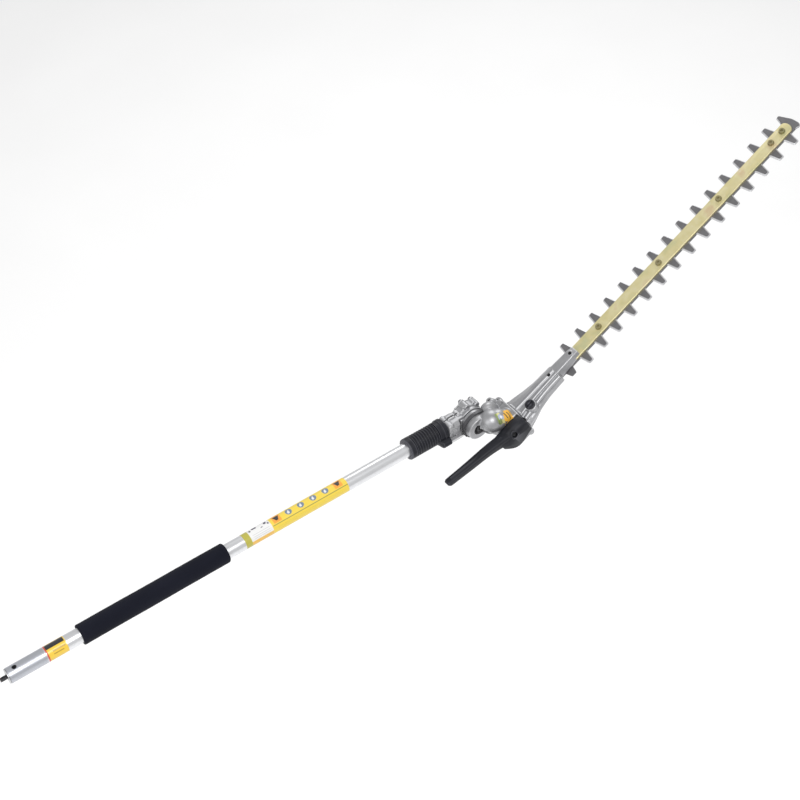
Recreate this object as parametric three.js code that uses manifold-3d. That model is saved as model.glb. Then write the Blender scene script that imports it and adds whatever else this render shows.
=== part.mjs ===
// Articulating hedge-trimmer attachment for a split-shaft power unit.
// Millimetres, +Z up. The shaft runs along +X from the end of its drive rod at the origin.
// The head turns about an axis parallel to Y at (PIVOT_X, 0, 0). Its own frame has x along
// the blades, y across them and z square to them, and it is raised by HEAD_ANGLE.
import * as THREE from "three";
import { mergeVertices } from "three/addons/utils/BufferGeometryUtils.js";
import Module from "manifold-3d";

const wasm = await Module();
wasm.setup();

// ---------------------------------------------------------------- driving dimensions

const GAP = 0.3; // clearance between pieces that rest on each other
const FINE = 24; // facets round a large turned piece
const COARSE = 12; // facets round a small one

const PIVOT_X = 836;
const HEAD_ANGLE = THREE.MathUtils.degToRad(30);

const TUBE_START = 12;
const TUBE_END = 806;
const TUBE_RADIUS = 12;
const TUBE_BORE = 10.5;
const ROD_RADIUS = 3.5;
const ROD_END = 818;
const LOCATING_HOLE_X = 24;
const LOCATING_HOLE_RADIUS = 3.6;

const FOAM_START = 125;
const FOAM_END = 371.5;
const FOAM_RADIUS = 16.1;

const SLEEVE_START = 712;
const SLEEVE_END = 793;
const SLEEVE_RADIUS = 18.3;
const SLEEVE_CHAMBER = 15.2; // inner radius of the spring chamber
const LATCH_Y = -22.5;
const LATCH_Z = -9.5;

const NECK_END = SLEEVE_END + GAP;
const KNUCKLE_RADIUS = 24;
const KNUCKLE_FAR = 13;
const KNUCKLE_NEAR = -12;
const COVER_FAR = 17;
const COVER_SCREW_ANGLES = [105, 60, 150, -30, -80]; // degrees round the pivot
const COVER_SCREW_CIRCLE = 25;
const COVER_LUG_RADIUS = 4.6;
const DRUM_RADIUS = 22;
const DRUM_NEAR = -36;
const PIVOT_BOLT_RADIUS = 6.2;
const INDEX_RADIUS = 26;
const INDEX_STEP = 15; // degrees between two notches
const INDEX_COUNT = 10;

const HEAD_Y = -42; // centre plane of the head
const SEAM_X = 60; // flange between the head housing and the gear case
const HOUSING_TOP = -11;
const CRANK_X = 38;
const CRANK_THROW = 8;
const ECCENTRIC_RADIUS = 11;

const CASE_FRONT = 202;
const SKIRT_END = 154;
const BLADE_TOP = -47;
const BLADE_THICKNESS = 2;
const LOWER_BLADE_TOP = BLADE_TOP - BLADE_THICKNESS - GAP;
const BLADES_UNDER = LOWER_BLADE_TOP - BLADE_THICKNESS;
const BLADE_HALF = 12;
const TOOTH_REACH = 32;
const TOOTH_PITCH = 35;
const TOOTH_BASE = 8.5;
const TOOTH_TIP = 5.2;
const FAR_TOOTH = 195; // first tooth on the +Y side
const NEAR_TOOTH = 206; // first tooth on the -Y side
const TEETH = 15;
const STROKE = CRANK_THROW;
const FORK_REAR = CRANK_X - 6; // open end of a connecting fork
const ROD_JOIN_X = 118; // where a fork meets its blade

const BAR_START = 160;
const BAR_END = 714;
const BAR_HALF = 10.75;
const BAR_UNDER = BLADE_TOP + GAP;
const BAR_TOP = BAR_UNDER + 3.5;
const BOLT_PLACES = [256, 400.5, 545, 671, 697.5];
const BOLT_RADIUS = 3;

// ---------------------------------------------------------------- solids

// A closed three.js geometry as a solid, turned right side out.
function solid(geometry) {
  const bare = geometry.index ? geometry.toNonIndexed() : geometry.clone();
  for (const name of Object.keys(bare.attributes)) {
    if (name !== "position") bare.deleteAttribute(name);
  }
  const merged = mergeVertices(bare, 1e-4);
  const index = merged.index.array;
  const points = merged.attributes.position.array;
  const triangles = [];
  let volume = 0;
  const a = new THREE.Vector3();
  const b = new THREE.Vector3();
  const c = new THREE.Vector3();
  for (let i = 0; i < index.length; i += 3) {
    const [p, q, r] = [index[i], index[i + 1], index[i + 2]];
    if (p === q || q === r || r === p) continue;
    triangles.push(p, q, r);
    b.fromArray(points, 3 * q).cross(c.fromArray(points, 3 * r));
    volume += a.fromArray(points, 3 * p).dot(b);
  }
  if (volume < 0) triangles.reverse();
  return new wasm.Manifold(
    new wasm.Mesh({ numProp: 3, vertProperties: points, triVerts: new Uint32Array(triangles) }),
  );
}

function geometryOf(body) {
  const mesh = body.getMesh();
  const geometry = new THREE.BufferGeometry();
  geometry.setAttribute("position", new THREE.BufferAttribute(new Float32Array(mesh.vertProperties), 3));
  geometry.setIndex(new THREE.BufferAttribute(new Uint32Array(mesh.triVerts), 1));
  const flat = geometry.toNonIndexed();
  flat.computeVertexNormals();
  return flat;
}

const join = (first, ...rest) => rest.reduce((sum, next) => sum.add(next), first);
const cut = (first, ...rest) => rest.reduce((left, next) => left.subtract(next), first);

function block([x0, x1], [y0, y1], [z0, z1]) {
  const box = new THREE.BoxGeometry(x1 - x0, y1 - y0, z1 - z0);
  return solid(box.translate((x0 + x1) / 2, (y0 + y1) / 2, (z0 + z1) / 2));
}

// Turns a profile of [place along the axis, radius] pairs round the axis through centre.
function turned(axis, profile, centre = [0, 0, 0], facets = FINE) {
  const points = profile.map(([along, radius]) => new THREE.Vector2(radius, along));
  const geometry = new THREE.LatheGeometry(points, facets);
  if (axis === "x") geometry.rotateZ(-Math.PI / 2);
  if (axis === "z") geometry.rotateX(Math.PI / 2);
  return solid(geometry.translate(...centre));
}

function rod(axis, radius, from, to, centre, facets) {
  return turned(axis, [[from, 0], [from, radius], [to, radius], [to, 0]], centre, facets);
}

function ring(axis, inner, outer, from, to, centre, facets) {
  const profile = [[from, inner], [from, outer], [to, outer], [to, inner], [from, inner]];
  return turned(axis, profile, centre, facets);
}

// A flat plate between two heights, from outline points [x, y] and any holes.
function plate(outline, z0, z1, holes = []) {
  const shape = new THREE.Shape(outline.map(([x, y]) => new THREE.Vector2(x, y)));
  for (const hole of holes) shape.holes.push(new THREE.Path(hole.map(([x, y]) => new THREE.Vector2(x, y))));
  const geometry = new THREE.ExtrudeGeometry(shape, { depth: z1 - z0, bevelEnabled: false });
  return solid(geometry.translate(0, 0, z0));
}

// Joins rings of equal length into one closed skin with flat ends.
function loft(rings) {
  const count = rings[0].length;
  const points = rings.flat();
  const faces = [];
  for (let r = 0; r + 1 < rings.length; r += 1) {
    for (let i = 0; i < count; i += 1) {
      const j = (i + 1) % count;
      const [a, b] = [r * count + i, r * count + j];
      faces.push(a, b, b + count, a, b + count, a + count);
    }
  }
  for (const [start, flip] of [[0, true], [(rings.length - 1) * count, false]]) {
    const ends = points.slice(start, start + count);
    const middle = [0, 1, 2].map((k) => ends.reduce((sum, p) => sum + p[k], 0) / count);
    points.push(middle);
    for (let i = 0; i < count; i += 1) {
      const pair = [start + i, start + ((i + 1) % count)];
      if (flip) pair.reverse();
      faces.push(...pair, points.length - 1);
    }
  }
  const geometry = new THREE.BufferGeometry();
  geometry.setAttribute("position", new THREE.Float32BufferAttribute(points.flat(), 3));
  geometry.setIndex(faces);
  return solid(geometry);
}

// A toothed wheel along an axis, its far face scaled for a bevel.
function gear(axis, teeth, root, tip, from, to, centre, taper = 1) {
  const place = {
    x: (along, u, v) => [along, u, v],
    y: (along, u, v) => [v, along, u],
    z: (along, u, v) => [u, v, along],
  }[axis];
  const face = (along, scale) => {
    const points = [];
    for (let i = 0; i < teeth * 4; i += 1) {
      const angle = (i / (teeth * 4)) * 2 * Math.PI;
      const radius = (i % 4 < 2 ? tip : root) * scale;
      const point = place(along, radius * Math.cos(angle), radius * Math.sin(angle));
      points.push(point.map((value, k) => value + centre[k]));
    }
    return points;
  };
  return loft([face(from, 1), face(to, taper)]);
}

function hexPrism(radius, from, to, centre) {
  return rod("z", radius, from, to, centre, 6);
}

// ---------------------------------------------------------------- finishes

const finish = (color, metalness, roughness) => new THREE.MeshStandardMaterial({ color, metalness, roughness });
const finishes = {
  tube: () => finish(0xd4d5d8, 0.9, 0.35),
  casting: () => finish(0xb4b5b8, 0.7, 0.5),
  steel: () => finish(0x6f7075, 0.8, 0.42),
  darkSteel: () => finish(0x2b2c2f, 0.7, 0.5),
  zinc: () => finish(0xc9bf7a, 0.8, 0.38),
  plastic: () => finish(0x1b1c1f, 0, 0.6),
  foam: () => finish(0x121317, 0, 0.95),
};

const attachment = new THREE.Group();
const head = new THREE.Group();
head.position.set(PIVOT_X, 0, 0);
head.rotation.y = -HEAD_ANGLE;
attachment.add(head);

function piece(name, finishName, body, parent = attachment) {
  const mesh = new THREE.Mesh(geometryOf(body), finishes[finishName]());
  mesh.name = name;
  parent.add(mesh);
}

// ---------------------------------------------------------------- shaft

function makeShaft() {
  const tube = cut(
    ring("x", TUBE_BORE, TUBE_RADIUS, TUBE_START, TUBE_END),
    rod("z", LOCATING_HOLE_RADIUS, 0, 30, [LOCATING_HOLE_X, 0, 0], COARSE),
  );
  piece("shaft_tube", "tube", tube);

  const lip = [[TUBE_START - 1.5, 5], [TUBE_START - 1.5, 11.6], [TUBE_START - GAP, 11.6]];
  const plug = [[TUBE_START - GAP, 10.2], [TUBE_START + 8, 10.2], [TUBE_START + 8, 5], [TUBE_START - 1.5, 5]];
  piece("end_bush", "steel", turned("x", [...lip, ...plug]));

  [150, 430, 690].forEach((x, i) => {
    const bush = ring("x", ROD_RADIUS + 0.4, TUBE_BORE - GAP, x, x + 22, [0, 0, 0], COARSE);
    piece(`liner_bush_${i + 1}`, "plastic", bush);
  });

  const round = 3;
  const skin = [
    [FOAM_START, TUBE_RADIUS + GAP],
    [FOAM_START, FOAM_RADIUS - round / 2],
    [FOAM_START + round / 2, FOAM_RADIUS],
    [FOAM_END - round, FOAM_RADIUS],
    [FOAM_END, FOAM_RADIUS - round],
    [FOAM_END, TUBE_RADIUS + GAP],
    [FOAM_START, TUBE_RADIUS + GAP],
  ];
  piece("foam_grip", "foam", turned("x", skin));
}

// The rod that carries the drive, square at its coupling end, with the pinion on its head end.
function makeDriveShaft() {
  const square = loft([3, 3.5].map((half, i) => {
    const x = i * 10;
    return [[x, -half, -half], [x, half, -half], [x, half, half], [x, -half, half]];
  }));
  piece("drive_shaft", "darkSteel", join(square, rod("x", ROD_RADIUS, 9, ROD_END, [0, 0, 0], COARSE)));
  const hub = rod("x", 5, ROD_END + GAP, ROD_END + 4, [0, 0, 0], COARSE);
  const pinion = gear("x", 12, 6.4, 7.6, ROD_END + 3.5, ROD_END + 8, [0, 0, 0], 0.6);
  piece("shaft_pinion", "steel", join(hub, pinion));
}

// ---------------------------------------------------------------- release sleeve

function makeSleeve() {
  const profile = [
    [SLEEVE_START, TUBE_RADIUS + 0.4],
    [SLEEVE_START, SLEEVE_RADIUS - 1],
    [SLEEVE_START + 1, SLEEVE_RADIUS],
    [SLEEVE_END - 8, SLEEVE_RADIUS],
    [SLEEVE_END - 8, SLEEVE_RADIUS + 1.2],
    [SLEEVE_END, SLEEVE_RADIUS + 1.2],
    [SLEEVE_END, SLEEVE_CHAMBER],
    [SLEEVE_START + 22, SLEEVE_CHAMBER],
    [SLEEVE_START + 22, TUBE_RADIUS + 0.4],
    [SLEEVE_START, TUBE_RADIUS + 0.4],
  ];
  const lobe = rod("x", 7, SLEEVE_END - 15, SLEEVE_END, [0, LATCH_Y + 2.4, LATCH_Z], COARSE);
  const around = (middle, half) => [middle - half, middle + half];
  const pocket = block([SLEEVE_END - 9, SLEEVE_END + 1], around(LATCH_Y, 2.8), around(LATCH_Z, 2.8));
  const chamber = rod("x", SLEEVE_CHAMBER, SLEEVE_START + 22, SLEEVE_END + 1);
  piece("release_sleeve", "plastic", cut(join(turned("x", profile), cut(lobe, chamber)), pocket));

  const rim = PIVOT_X - INDEX_RADIUS;
  const bar = block([SLEEVE_END - 8.7, rim - 2], around(LATCH_Y, 2.5), around(LATCH_Z, 2.5));
  const nose = block([rim - 3, rim + 0.8], around(LATCH_Y, 2.5), around(LATCH_Z, 1.4));
  piece("latch_bar", "steel", join(bar, nose));

  // The spring, drawn at its closed length, behind the neck.
  const turns = 4;
  class Coil extends THREE.Curve {
    getPoint(t, target = new THREE.Vector3()) {
      const angle = t * turns * 2 * Math.PI;
      const radius = (SLEEVE_CHAMBER + TUBE_RADIUS) / 2;
      return target.set(SLEEVE_END - 30 + t * 20, radius * Math.cos(angle), radius * Math.sin(angle));
    }
  }
  const wire = new THREE.Shape();
  wire.absarc(0, 0, 1, 0, 2 * Math.PI);
  const carried = { steps: turns * 14, extrudePath: new Coil(), curveSegments: 3 };
  const coil = new THREE.ExtrudeGeometry(wire, carried);
  piece("release_spring", "steel", solid(coil));
}

// ---------------------------------------------------------------- fixed half of the joint

function makeKnuckle() {
  const at = [PIVOT_X, 0, 0];
  const neckSection = (x, grow) => {
    const [near, far, low, high, chamfer] = [-18.5 + grow, KNUCKLE_FAR - grow, -16 + grow, 18 - grow, 6];
    return [
      [x, near + chamfer, low], [x, far - chamfer, low], [x, far, low + chamfer], [x, far, high - chamfer],
      [x, far - chamfer, high], [x, near + chamfer, high], [x, near, high - chamfer], [x, near, low + chamfer],
    ];
  };
  const neck = cut(
    loft([neckSection(NECK_END, 1), neckSection(NECK_END + 3, 0), neckSection(PIVOT_X - 10, 0)]),
    block([PIVOT_X - INDEX_RADIUS - 1, PIVOT_X], [-30, KNUCKLE_NEAR], [-40, 40]),
  );
  const lugs = COVER_SCREW_ANGLES.map((degrees) => {
    const angle = THREE.MathUtils.degToRad(degrees);
    return [PIVOT_X + COVER_SCREW_CIRCLE * Math.cos(angle), 0, COVER_SCREW_CIRCLE * Math.sin(angle)];
  });
  const bosses = lugs.map((place) => rod("y", COVER_LUG_RADIUS, -3, KNUCKLE_FAR, place, COARSE));
  const outside = join(rod("y", KNUCKLE_RADIUS, KNUCKLE_NEAR, KNUCKLE_FAR, at), neck, ...bosses);
  const housing = cut(
    outside,
    rod("y", 17.5, KNUCKLE_NEAR + 3, KNUCKLE_FAR + 1, at),
    rod("y", 8, KNUCKLE_NEAR - 1, 0, at),
    rod("x", TUBE_RADIUS + GAP, NECK_END - 1, TUBE_END + GAP),
    rod("x", 9.4, NECK_END, PIVOT_X - 10),
    block([NECK_END - 1, NECK_END + 15], [-0.8, 0.8], [TUBE_RADIUS, 20]),
  );
  piece("knuckle_housing", "casting", housing);

  const plateFrom = KNUCKLE_FAR + GAP;
  const cover = cut(
    join(
      rod("y", KNUCKLE_RADIUS, plateFrom, COVER_FAR, at),
      rod("y", 12, COVER_FAR - 1, COVER_FAR + 4, at),
      ...lugs.map((place) => rod("y", COVER_LUG_RADIUS, plateFrom, COVER_FAR, place, COARSE)),
    ),
    rod("y", 7.4, plateFrom - 1, COVER_FAR + 1, at, COARSE),
  );
  piece("knuckle_cover", "casting", cover);
  lugs.forEach((place, i) => {
    piece(`knuckle_screw_${i + 1}`, "steel", rod("y", 3.4, COVER_FAR + GAP, COVER_FAR + 3.2, place, COARSE));
  });

  piece("pinion_bearing", "steel", ring("x", 3.9, 9.1, TUBE_END + 2, TUBE_END + 9, [0, 0, 0], COARSE));
  piece("clamp_bolt", "steel", rod("y", 3, KNUCKLE_FAR + GAP, COVER_FAR, [SLEEVE_END + 9, 0, 5], COARSE));
}

// ---------------------------------------------------------------- pivot gears

function makeIdler() {
  const at = [PIVOT_X, 0, 0];
  const shaft = rod("y", 5, DRUM_NEAR + 5, COVER_FAR - 0.4, at, COARSE);
  piece("idler_shaft", "steel", shaft);
  const input = cut(gear("y", 16, 13.2, 14.6, 12, 8.6, at, 0.75), rod("y", 5 + GAP, 0, 20, at, COARSE));
  piece("idler_input_gear", "steel", input);
  const output = cut(gear("y", 16, 12.4, 13.8, -24.5, -28.5, at, 0.78), rod("y", 5 + GAP, -40, 0, at, COARSE));
  piece("idler_output_gear", "steel", output);
  piece("idler_bearing", "steel", ring("y", 5 + GAP, 7.7, KNUCKLE_NEAR + 0.4, -1, at, COARSE));
}

// ---------------------------------------------------------------- moving half of the joint

const onHead = (x, z = 0) => [x, HEAD_Y, z];

function makeHeadHousing() {
  const drum = rod("y", DRUM_RADIUS, DRUM_NEAR, KNUCKLE_NEAR - GAP, [0, 0, 0]);
  const domeShape = new THREE.SphereGeometry(1, 20, 12);
  domeShape.rotateX(Math.PI / 2);
  domeShape.scale(20, 19.5, 19);
  const dome = solid(domeShape.translate(...onHead(19, -1)));
  const shoulder = (x, top, half, chamfer) => [
    [x, HEAD_Y + half + 8, -46.7],
    [x, HEAD_Y + half + 8, -34],
    [x, HEAD_Y + half, top - chamfer],
    [x, HEAD_Y + half - chamfer, top],
    [x, HEAD_Y - 18 + chamfer / 2, top],
    [x, HEAD_Y - 18, top - chamfer / 2],
    [x, HEAD_Y - 18, -34],
    [x, HEAD_Y - 18, -46.7],
  ];
  const top = loft([
    shoulder(19, HOUSING_TOP - 3, 18, 6),
    shoulder(26, HOUSING_TOP, 20, 5),
    shoulder(SEAM_X - GAP, HOUSING_TOP - 2, 19, 4),
  ]);
  const base = loft([
    [20, 30],
    [26, 35],
    [SEAM_X - GAP, 35],
  ].map(([x, half]) => [
    [x, HEAD_Y - half, -53],
    [x, HEAD_Y + half, -53],
    [x, HEAD_Y + half, -46],
    [x, HEAD_Y - half, -46],
  ]));
  const farBosses = [[42, -2, -20], [54, -10, -24]];
  const bosses = farBosses.map(([x, y, high]) => rod("z", 6, -53, high, [x, y, 0], COARSE));
  const outside = join(drum, dome, top, base, ...bosses);
  const cavity = [
    ring("y", DRUM_RADIUS, INDEX_RADIUS + 2 * GAP, LATCH_Y - 2.8, LATCH_Y + 2.8, [0, 0, 0], 36),
    rod("y", 17, DRUM_NEAR + 3, KNUCKLE_NEAR - 5, [0, 0, 0]),
    rod("y", 8, KNUCKLE_NEAR - 6, 0, [0, 0, 0], COARSE),
    rod("y", PIVOT_BOLT_RADIUS + GAP, -70, DRUM_NEAR, [0, 0, 0], COARSE),
    rod("x", 15.5, 7.6, 30, onHead(0), FINE),
    block([7.6, 14], [HEAD_Y, DRUM_NEAR + 8], [-15, 15]),
    rod("z", 17, -60, -13.6, onHead(CRANK_X), FINE),
    block([FORK_REAR - STROKE - 1, SEAM_X + 1], [HEAD_Y - 24.5, HEAD_Y + 24.5], [-60, -45]),
    rod("z", CRANK_THROW + ECCENTRIC_RADIUS + 0.6, -60, -45, onHead(CRANK_X), FINE),
  ];
  piece("head_housing", "casting", cut(outside, ...cavity), head);

  const latchAngle = 180 + THREE.MathUtils.radToDeg(Math.atan2(-LATCH_Z, INDEX_RADIUS) - HEAD_ANGLE);
  const notches = [];
  for (let i = 0; i < INDEX_COUNT; i += 1) {
    const angle = THREE.MathUtils.degToRad(latchAngle + INDEX_STEP * (i - 1));
    const notch = new THREE.BoxGeometry(6, 6, 3.6).translate(INDEX_RADIUS, 0, 0).rotateY(-angle);
    notches.push(solid(notch.translate(0, LATCH_Y, 0)));
  }
  const disc = ring("y", DRUM_RADIUS + GAP, INDEX_RADIUS, LATCH_Y - 2.5, LATCH_Y + 2.5, [0, 0, 0], 36);
  piece("index_ring", "darkSteel", cut(disc, ...notches), head);

  piece("pivot_bolt", "darkSteel", cut(
    rod("y", PIVOT_BOLT_RADIUS, DRUM_NEAR - 4, DRUM_NEAR - GAP, [0, 0, 0], COARSE),
    rod("y", 3, DRUM_NEAR - 5, DRUM_NEAR - 1.5, [0, 0, 0], 6),
  ), head);
}

function makeHeadGears() {
  const rear = gear("x", 14, 10.6, 12, 12.6, 8.4, onHead(0), 0.7);
  const front = gear("x", 14, 12, 13.6, 22.6, 26.5, onHead(0), 0.72);
  piece("head_pinion", "steel", join(rear, front, rod("x", 5, 10, 24, onHead(0), COARSE)), head);
  piece("head_pinion_bearing", "steel", ring("x", 5 + GAP, 15.2, 13.6, 19.6, onHead(0), 24), head);

  const crown = gear("z", 20, 14, 15.6, -18.6, -14.5, onHead(CRANK_X), 1);
  const eccentric = (side, low) => {
    const centre = [CRANK_X, HEAD_Y + side * CRANK_THROW, 0];
    return rod("z", ECCENTRIC_RADIUS, low, low + BLADE_THICKNESS, centre, FINE);
  };
  const shaft = rod("z", 6, -46.5, -18, onHead(CRANK_X), COARSE);
  const web = rod("z", 3, -51.2, -46, onHead(CRANK_X), COARSE);
  const upper = eccentric(1, BLADE_TOP - BLADE_THICKNESS);
  const lower = eccentric(-1, BLADES_UNDER);
  piece("crank_gear", "steel", join(crown, shaft, web, upper, lower), head);
  piece("crank_bearing", "steel", ring("z", 6 + GAP, 16.7, -30, -22, onHead(CRANK_X), 24), head);
}

function makeLowerCover() {
  const section = (x, half, low) => [
    [x, HEAD_Y - half + 5, low], [x, HEAD_Y + half - 5, low], [x, HEAD_Y + half, low + 5],
    [x, HEAD_Y + half, -53.3], [x, HEAD_Y - half, -53.3], [x, HEAD_Y - half, low + 5],
  ];
  const shell = loft([section(20, 28, -60), section(27, 35, -66), section(SEAM_X - GAP, 35, -66)]);
  piece("lower_cover", "casting", cut(shell, rod("z", 6, -58, -50, onHead(CRANK_X), COARSE)), head);
  [[26, -22], [26, 22], [54, -30], [54, 30]].forEach(([x, y], i) => {
    piece(`cover_screw_${i + 1}`, "steel", rod("z", 3.6, -69, -66.3, [x, HEAD_Y + y, 0], 12), head);
  });
}

// ---------------------------------------------------------------- gear case

// Half widths of the gear case's foot and of its raised top, and its height, along the blades.
const CASE_STATIONS = [
  { x: SEAM_X + GAP, foot: 29, crest: 15, top: -31, low: -66 },
  { x: 74, foot: 26.5, crest: 12.5, top: -31.5, low: -63 },
  { x: 94, foot: 22, crest: 10.5, top: -32, low: -59 },
  { x: 116, foot: 18.5, crest: 9.5, top: -32, low: -57 },
  { x: SKIRT_END, foot: 17, crest: 8.5, top: -32.5, low: -55 },
];

function makeGearCase() {
  const hat = ({ x, foot, crest, top }, bottom) => [
    [x, HEAD_Y - foot, bottom], [x, HEAD_Y - foot, -44], [x, HEAD_Y - crest, top], [x, HEAD_Y + crest, top],
    [x, HEAD_Y + foot, -44], [x, HEAD_Y + foot, bottom],
  ];
  const wide = loft(CASE_STATIONS.map((station) => hat(station, -53)));
  const nose = loft([
    hat({ x: SKIRT_END - 4, foot: 14, crest: 8.5, top: -32.5 }, -46.6),
    hat({ x: 190, foot: 11.5, crest: 7.4, top: -33.5 }, -46.6),
    hat({ x: CASE_FRONT, foot: 10.5, crest: 6.5, top: -36 }, -46.6),
  ]);
  const channel = [
    [SEAM_X, -24.5], [73.5, -24.5], [86, -13.4], [SKIRT_END + 1, -13.4],
    [SKIRT_END + 1, 13.4], [86, 13.4], [73.5, 24.5], [SEAM_X, 24.5],
  ].map(([x, y]) => [x, HEAD_Y + y]);
  const plugAt = [84, HEAD_Y - 13.5, 0];
  const boss = rod("z", 9.5, -44, -32, plugAt, 24);
  const barSides = [HEAD_Y - BAR_HALF - GAP, HEAD_Y + BAR_HALF + GAP];
  const body = cut(
    join(wide, nose, boss),
    plate(channel, -54, -46.4),
    block([SKIRT_END + 0.01, CASE_FRONT + 1], [-90, 0], [-54, -46.6]),
    block([BAR_START - GAP, CASE_FRONT + 1], barSides, [-54, BAR_TOP + GAP]),
    rod("z", 6.4, -36, -30, plugAt, 24),
    ...[141, 191].map((x) => rod("z", 3, -40, -30, [x, HEAD_Y, 0], 12)),
  );
  piece("gear_case", "casting", body, head);

  const sill = loft(CASE_STATIONS.map(({ x, foot, low }) => [
    [x, HEAD_Y - foot, -53.3], [x, HEAD_Y - foot + 3, low],
    [x, HEAD_Y + foot - 3, low], [x, HEAD_Y + foot, -53.3],
  ]));
  piece("case_bottom_cover", "casting", sill, head);

  piece("grease_plug", "plastic", cut(
    join(rod("z", 6, -35.6, -31, plugAt, 24), rod("z", 8.2, -31.3, -27.5, plugAt, 24)),
    block([76, 92], [HEAD_Y - 14.5, HEAD_Y - 12.5], [-29, -27]),
  ), head);
  [141, 191].forEach((x, i) => {
    piece(`case_screw_${i + 1}`, "darkSteel", rod("z", 2.6, -39.6, -34, [x, HEAD_Y, 0], 12), head);
  });
}

// ---------------------------------------------------------------- handle lever

function makeHandle() {
  const nearFace = HEAD_Y - 18 - GAP;
  const section = (x, z, width, height, y) => {
    const c = Math.min(width, height) * 0.28;
    const [y0, y1, z0, z1] = [y - width / 2, y + width / 2, z - height / 2, z + height / 2];
    return [
      [x, y0 + c, z0], [x, y1 - c, z0], [x, y1, z0 + c], [x, y1, z1 - c],
      [x, y1 - c, z1], [x, y0 + c, z1], [x, y0, z1 - c], [x, y0, z0 + c],
    ];
  };
  const middle = nearFace - 13;
  const base = loft([
    section(2, -13, 20, 19, middle),
    section(14, -24, 26, 36, middle),
    section(50, -26, 26, 36, middle),
    section(58, -28, 22, 30, middle),
  ]);
  const arm = loft([
    section(12, -16, 19, 20, middle),
    section(-20, -5, 17, 15, middle),
    section(-60, 6, 14.5, 13, middle + 1),
    section(-100, 16, 12.5, 12, middle + 2),
    section(-103, 16.8, 9, 8.5, middle + 2),
  ]);
  const recess = rod("y", 4.6, nearFace - 30, nearFace - 18, [30, 0, -24], COARSE);
  piece("handle_lever", "plastic", cut(join(base, arm), recess), head);
  piece("handle_bolt", "darkSteel", cut(
    rod("y", 4.2, nearFace - 22, nearFace - 18.4, [30, 0, -24], COARSE),
    rod("y", 2, nearFace - 23, nearFace - 20, [30, 0, -24], 6),
  ), head);
}

// ---------------------------------------------------------------- blades

function slot(from, to, half) {
  const points = [];
  for (const [x, start] of [[to - half, -90], [from + half, 90]]) {
    for (let i = 0; i <= 4; i += 1) {
      const angle = THREE.MathUtils.degToRad(start + i * 45);
      points.push([x + half * Math.cos(angle), HEAD_Y + half * Math.sin(angle)]);
    }
  }
  return points;
}

// The outline runs forward along the -Y side, round the crown at the tip and back along the +Y side.
function bladeOutline(rearTooth) {
  const points = [[ROD_JOIN_X + GAP, HEAD_Y - 9], [140, HEAD_Y - BLADE_HALF]];
  for (let k = rearTooth ? -1 : 0; k < TEETH; k += 1) {
    const x = NEAR_TOOTH + k * TOOTH_PITCH;
    points.push(
      [x - TOOTH_BASE, HEAD_Y - BLADE_HALF], [x - TOOTH_TIP, HEAD_Y - TOOTH_REACH],
      [x + TOOTH_TIP, HEAD_Y - TOOTH_REACH], [x + TOOTH_BASE, HEAD_Y - BLADE_HALF],
    );
  }
  const crown = [
    [715, -12], [718, -14], [724, -14.5], [727.5, -8],
    [727, 6], [718.5, 28.5], [712.5, 28], [707, 12],
  ];
  crown.forEach(([x, y]) => points.push([x, HEAD_Y + y]));
  for (let k = TEETH - 1; k >= 0; k -= 1) {
    const x = FAR_TOOTH + k * TOOTH_PITCH;
    points.push(
      [x + TOOTH_BASE, HEAD_Y + BLADE_HALF], [x + TOOTH_TIP, HEAD_Y + TOOTH_REACH],
      [x - TOOTH_TIP, HEAD_Y + TOOTH_REACH], [x - TOOTH_BASE, HEAD_Y + BLADE_HALF],
    );
  }
  points.push([140, HEAD_Y + BLADE_HALF], [ROD_JOIN_X + GAP, HEAD_Y + 9]);
  return points;
}

function makeBlades() {
  const reach = STROKE + BOLT_RADIUS + 0.6;
  const half = BOLT_RADIUS + 0.5;
  const slots = [
    ...BOLT_PLACES.slice(0, 3).map((x) => slot(x - reach, x + reach, half)),
    slot(BOLT_PLACES[3] - reach, BOLT_PLACES[4] + reach, half),
  ];
  const upperUnder = BLADE_TOP - BLADE_THICKNESS;
  piece("upper_blade", "steel", plate(bladeOutline(false), upperUnder, BLADE_TOP, slots), head);
  piece("lower_blade", "steel", plate(bladeOutline(true), BLADES_UNDER, LOWER_BLADE_TOP, slots), head);

  const reachOfCrank = CRANK_THROW + ECCENTRIC_RADIUS + 0.5;
  const crotch = CRANK_X + reachOfCrank + STROKE;
  const fork = [
    [FORK_REAR, reachOfCrank], [crotch, reachOfCrank], [crotch, -reachOfCrank], [FORK_REAR, -reachOfCrank],
    [FORK_REAR, -reachOfCrank - 4], [crotch - 1, -reachOfCrank - 4], [crotch + 10, -9], [ROD_JOIN_X, -9],
    [ROD_JOIN_X, 9], [crotch + 10, 9], [crotch - 1, reachOfCrank + 4], [FORK_REAR, reachOfCrank + 4],
  ].map(([x, y]) => [x, HEAD_Y + y]);
  piece("upper_fork", "steel", plate(fork, BLADE_TOP - BLADE_THICKNESS, BLADE_TOP), head);
  piece("lower_fork", "steel", plate(fork, BLADES_UNDER, LOWER_BLADE_TOP), head);
}

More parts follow.
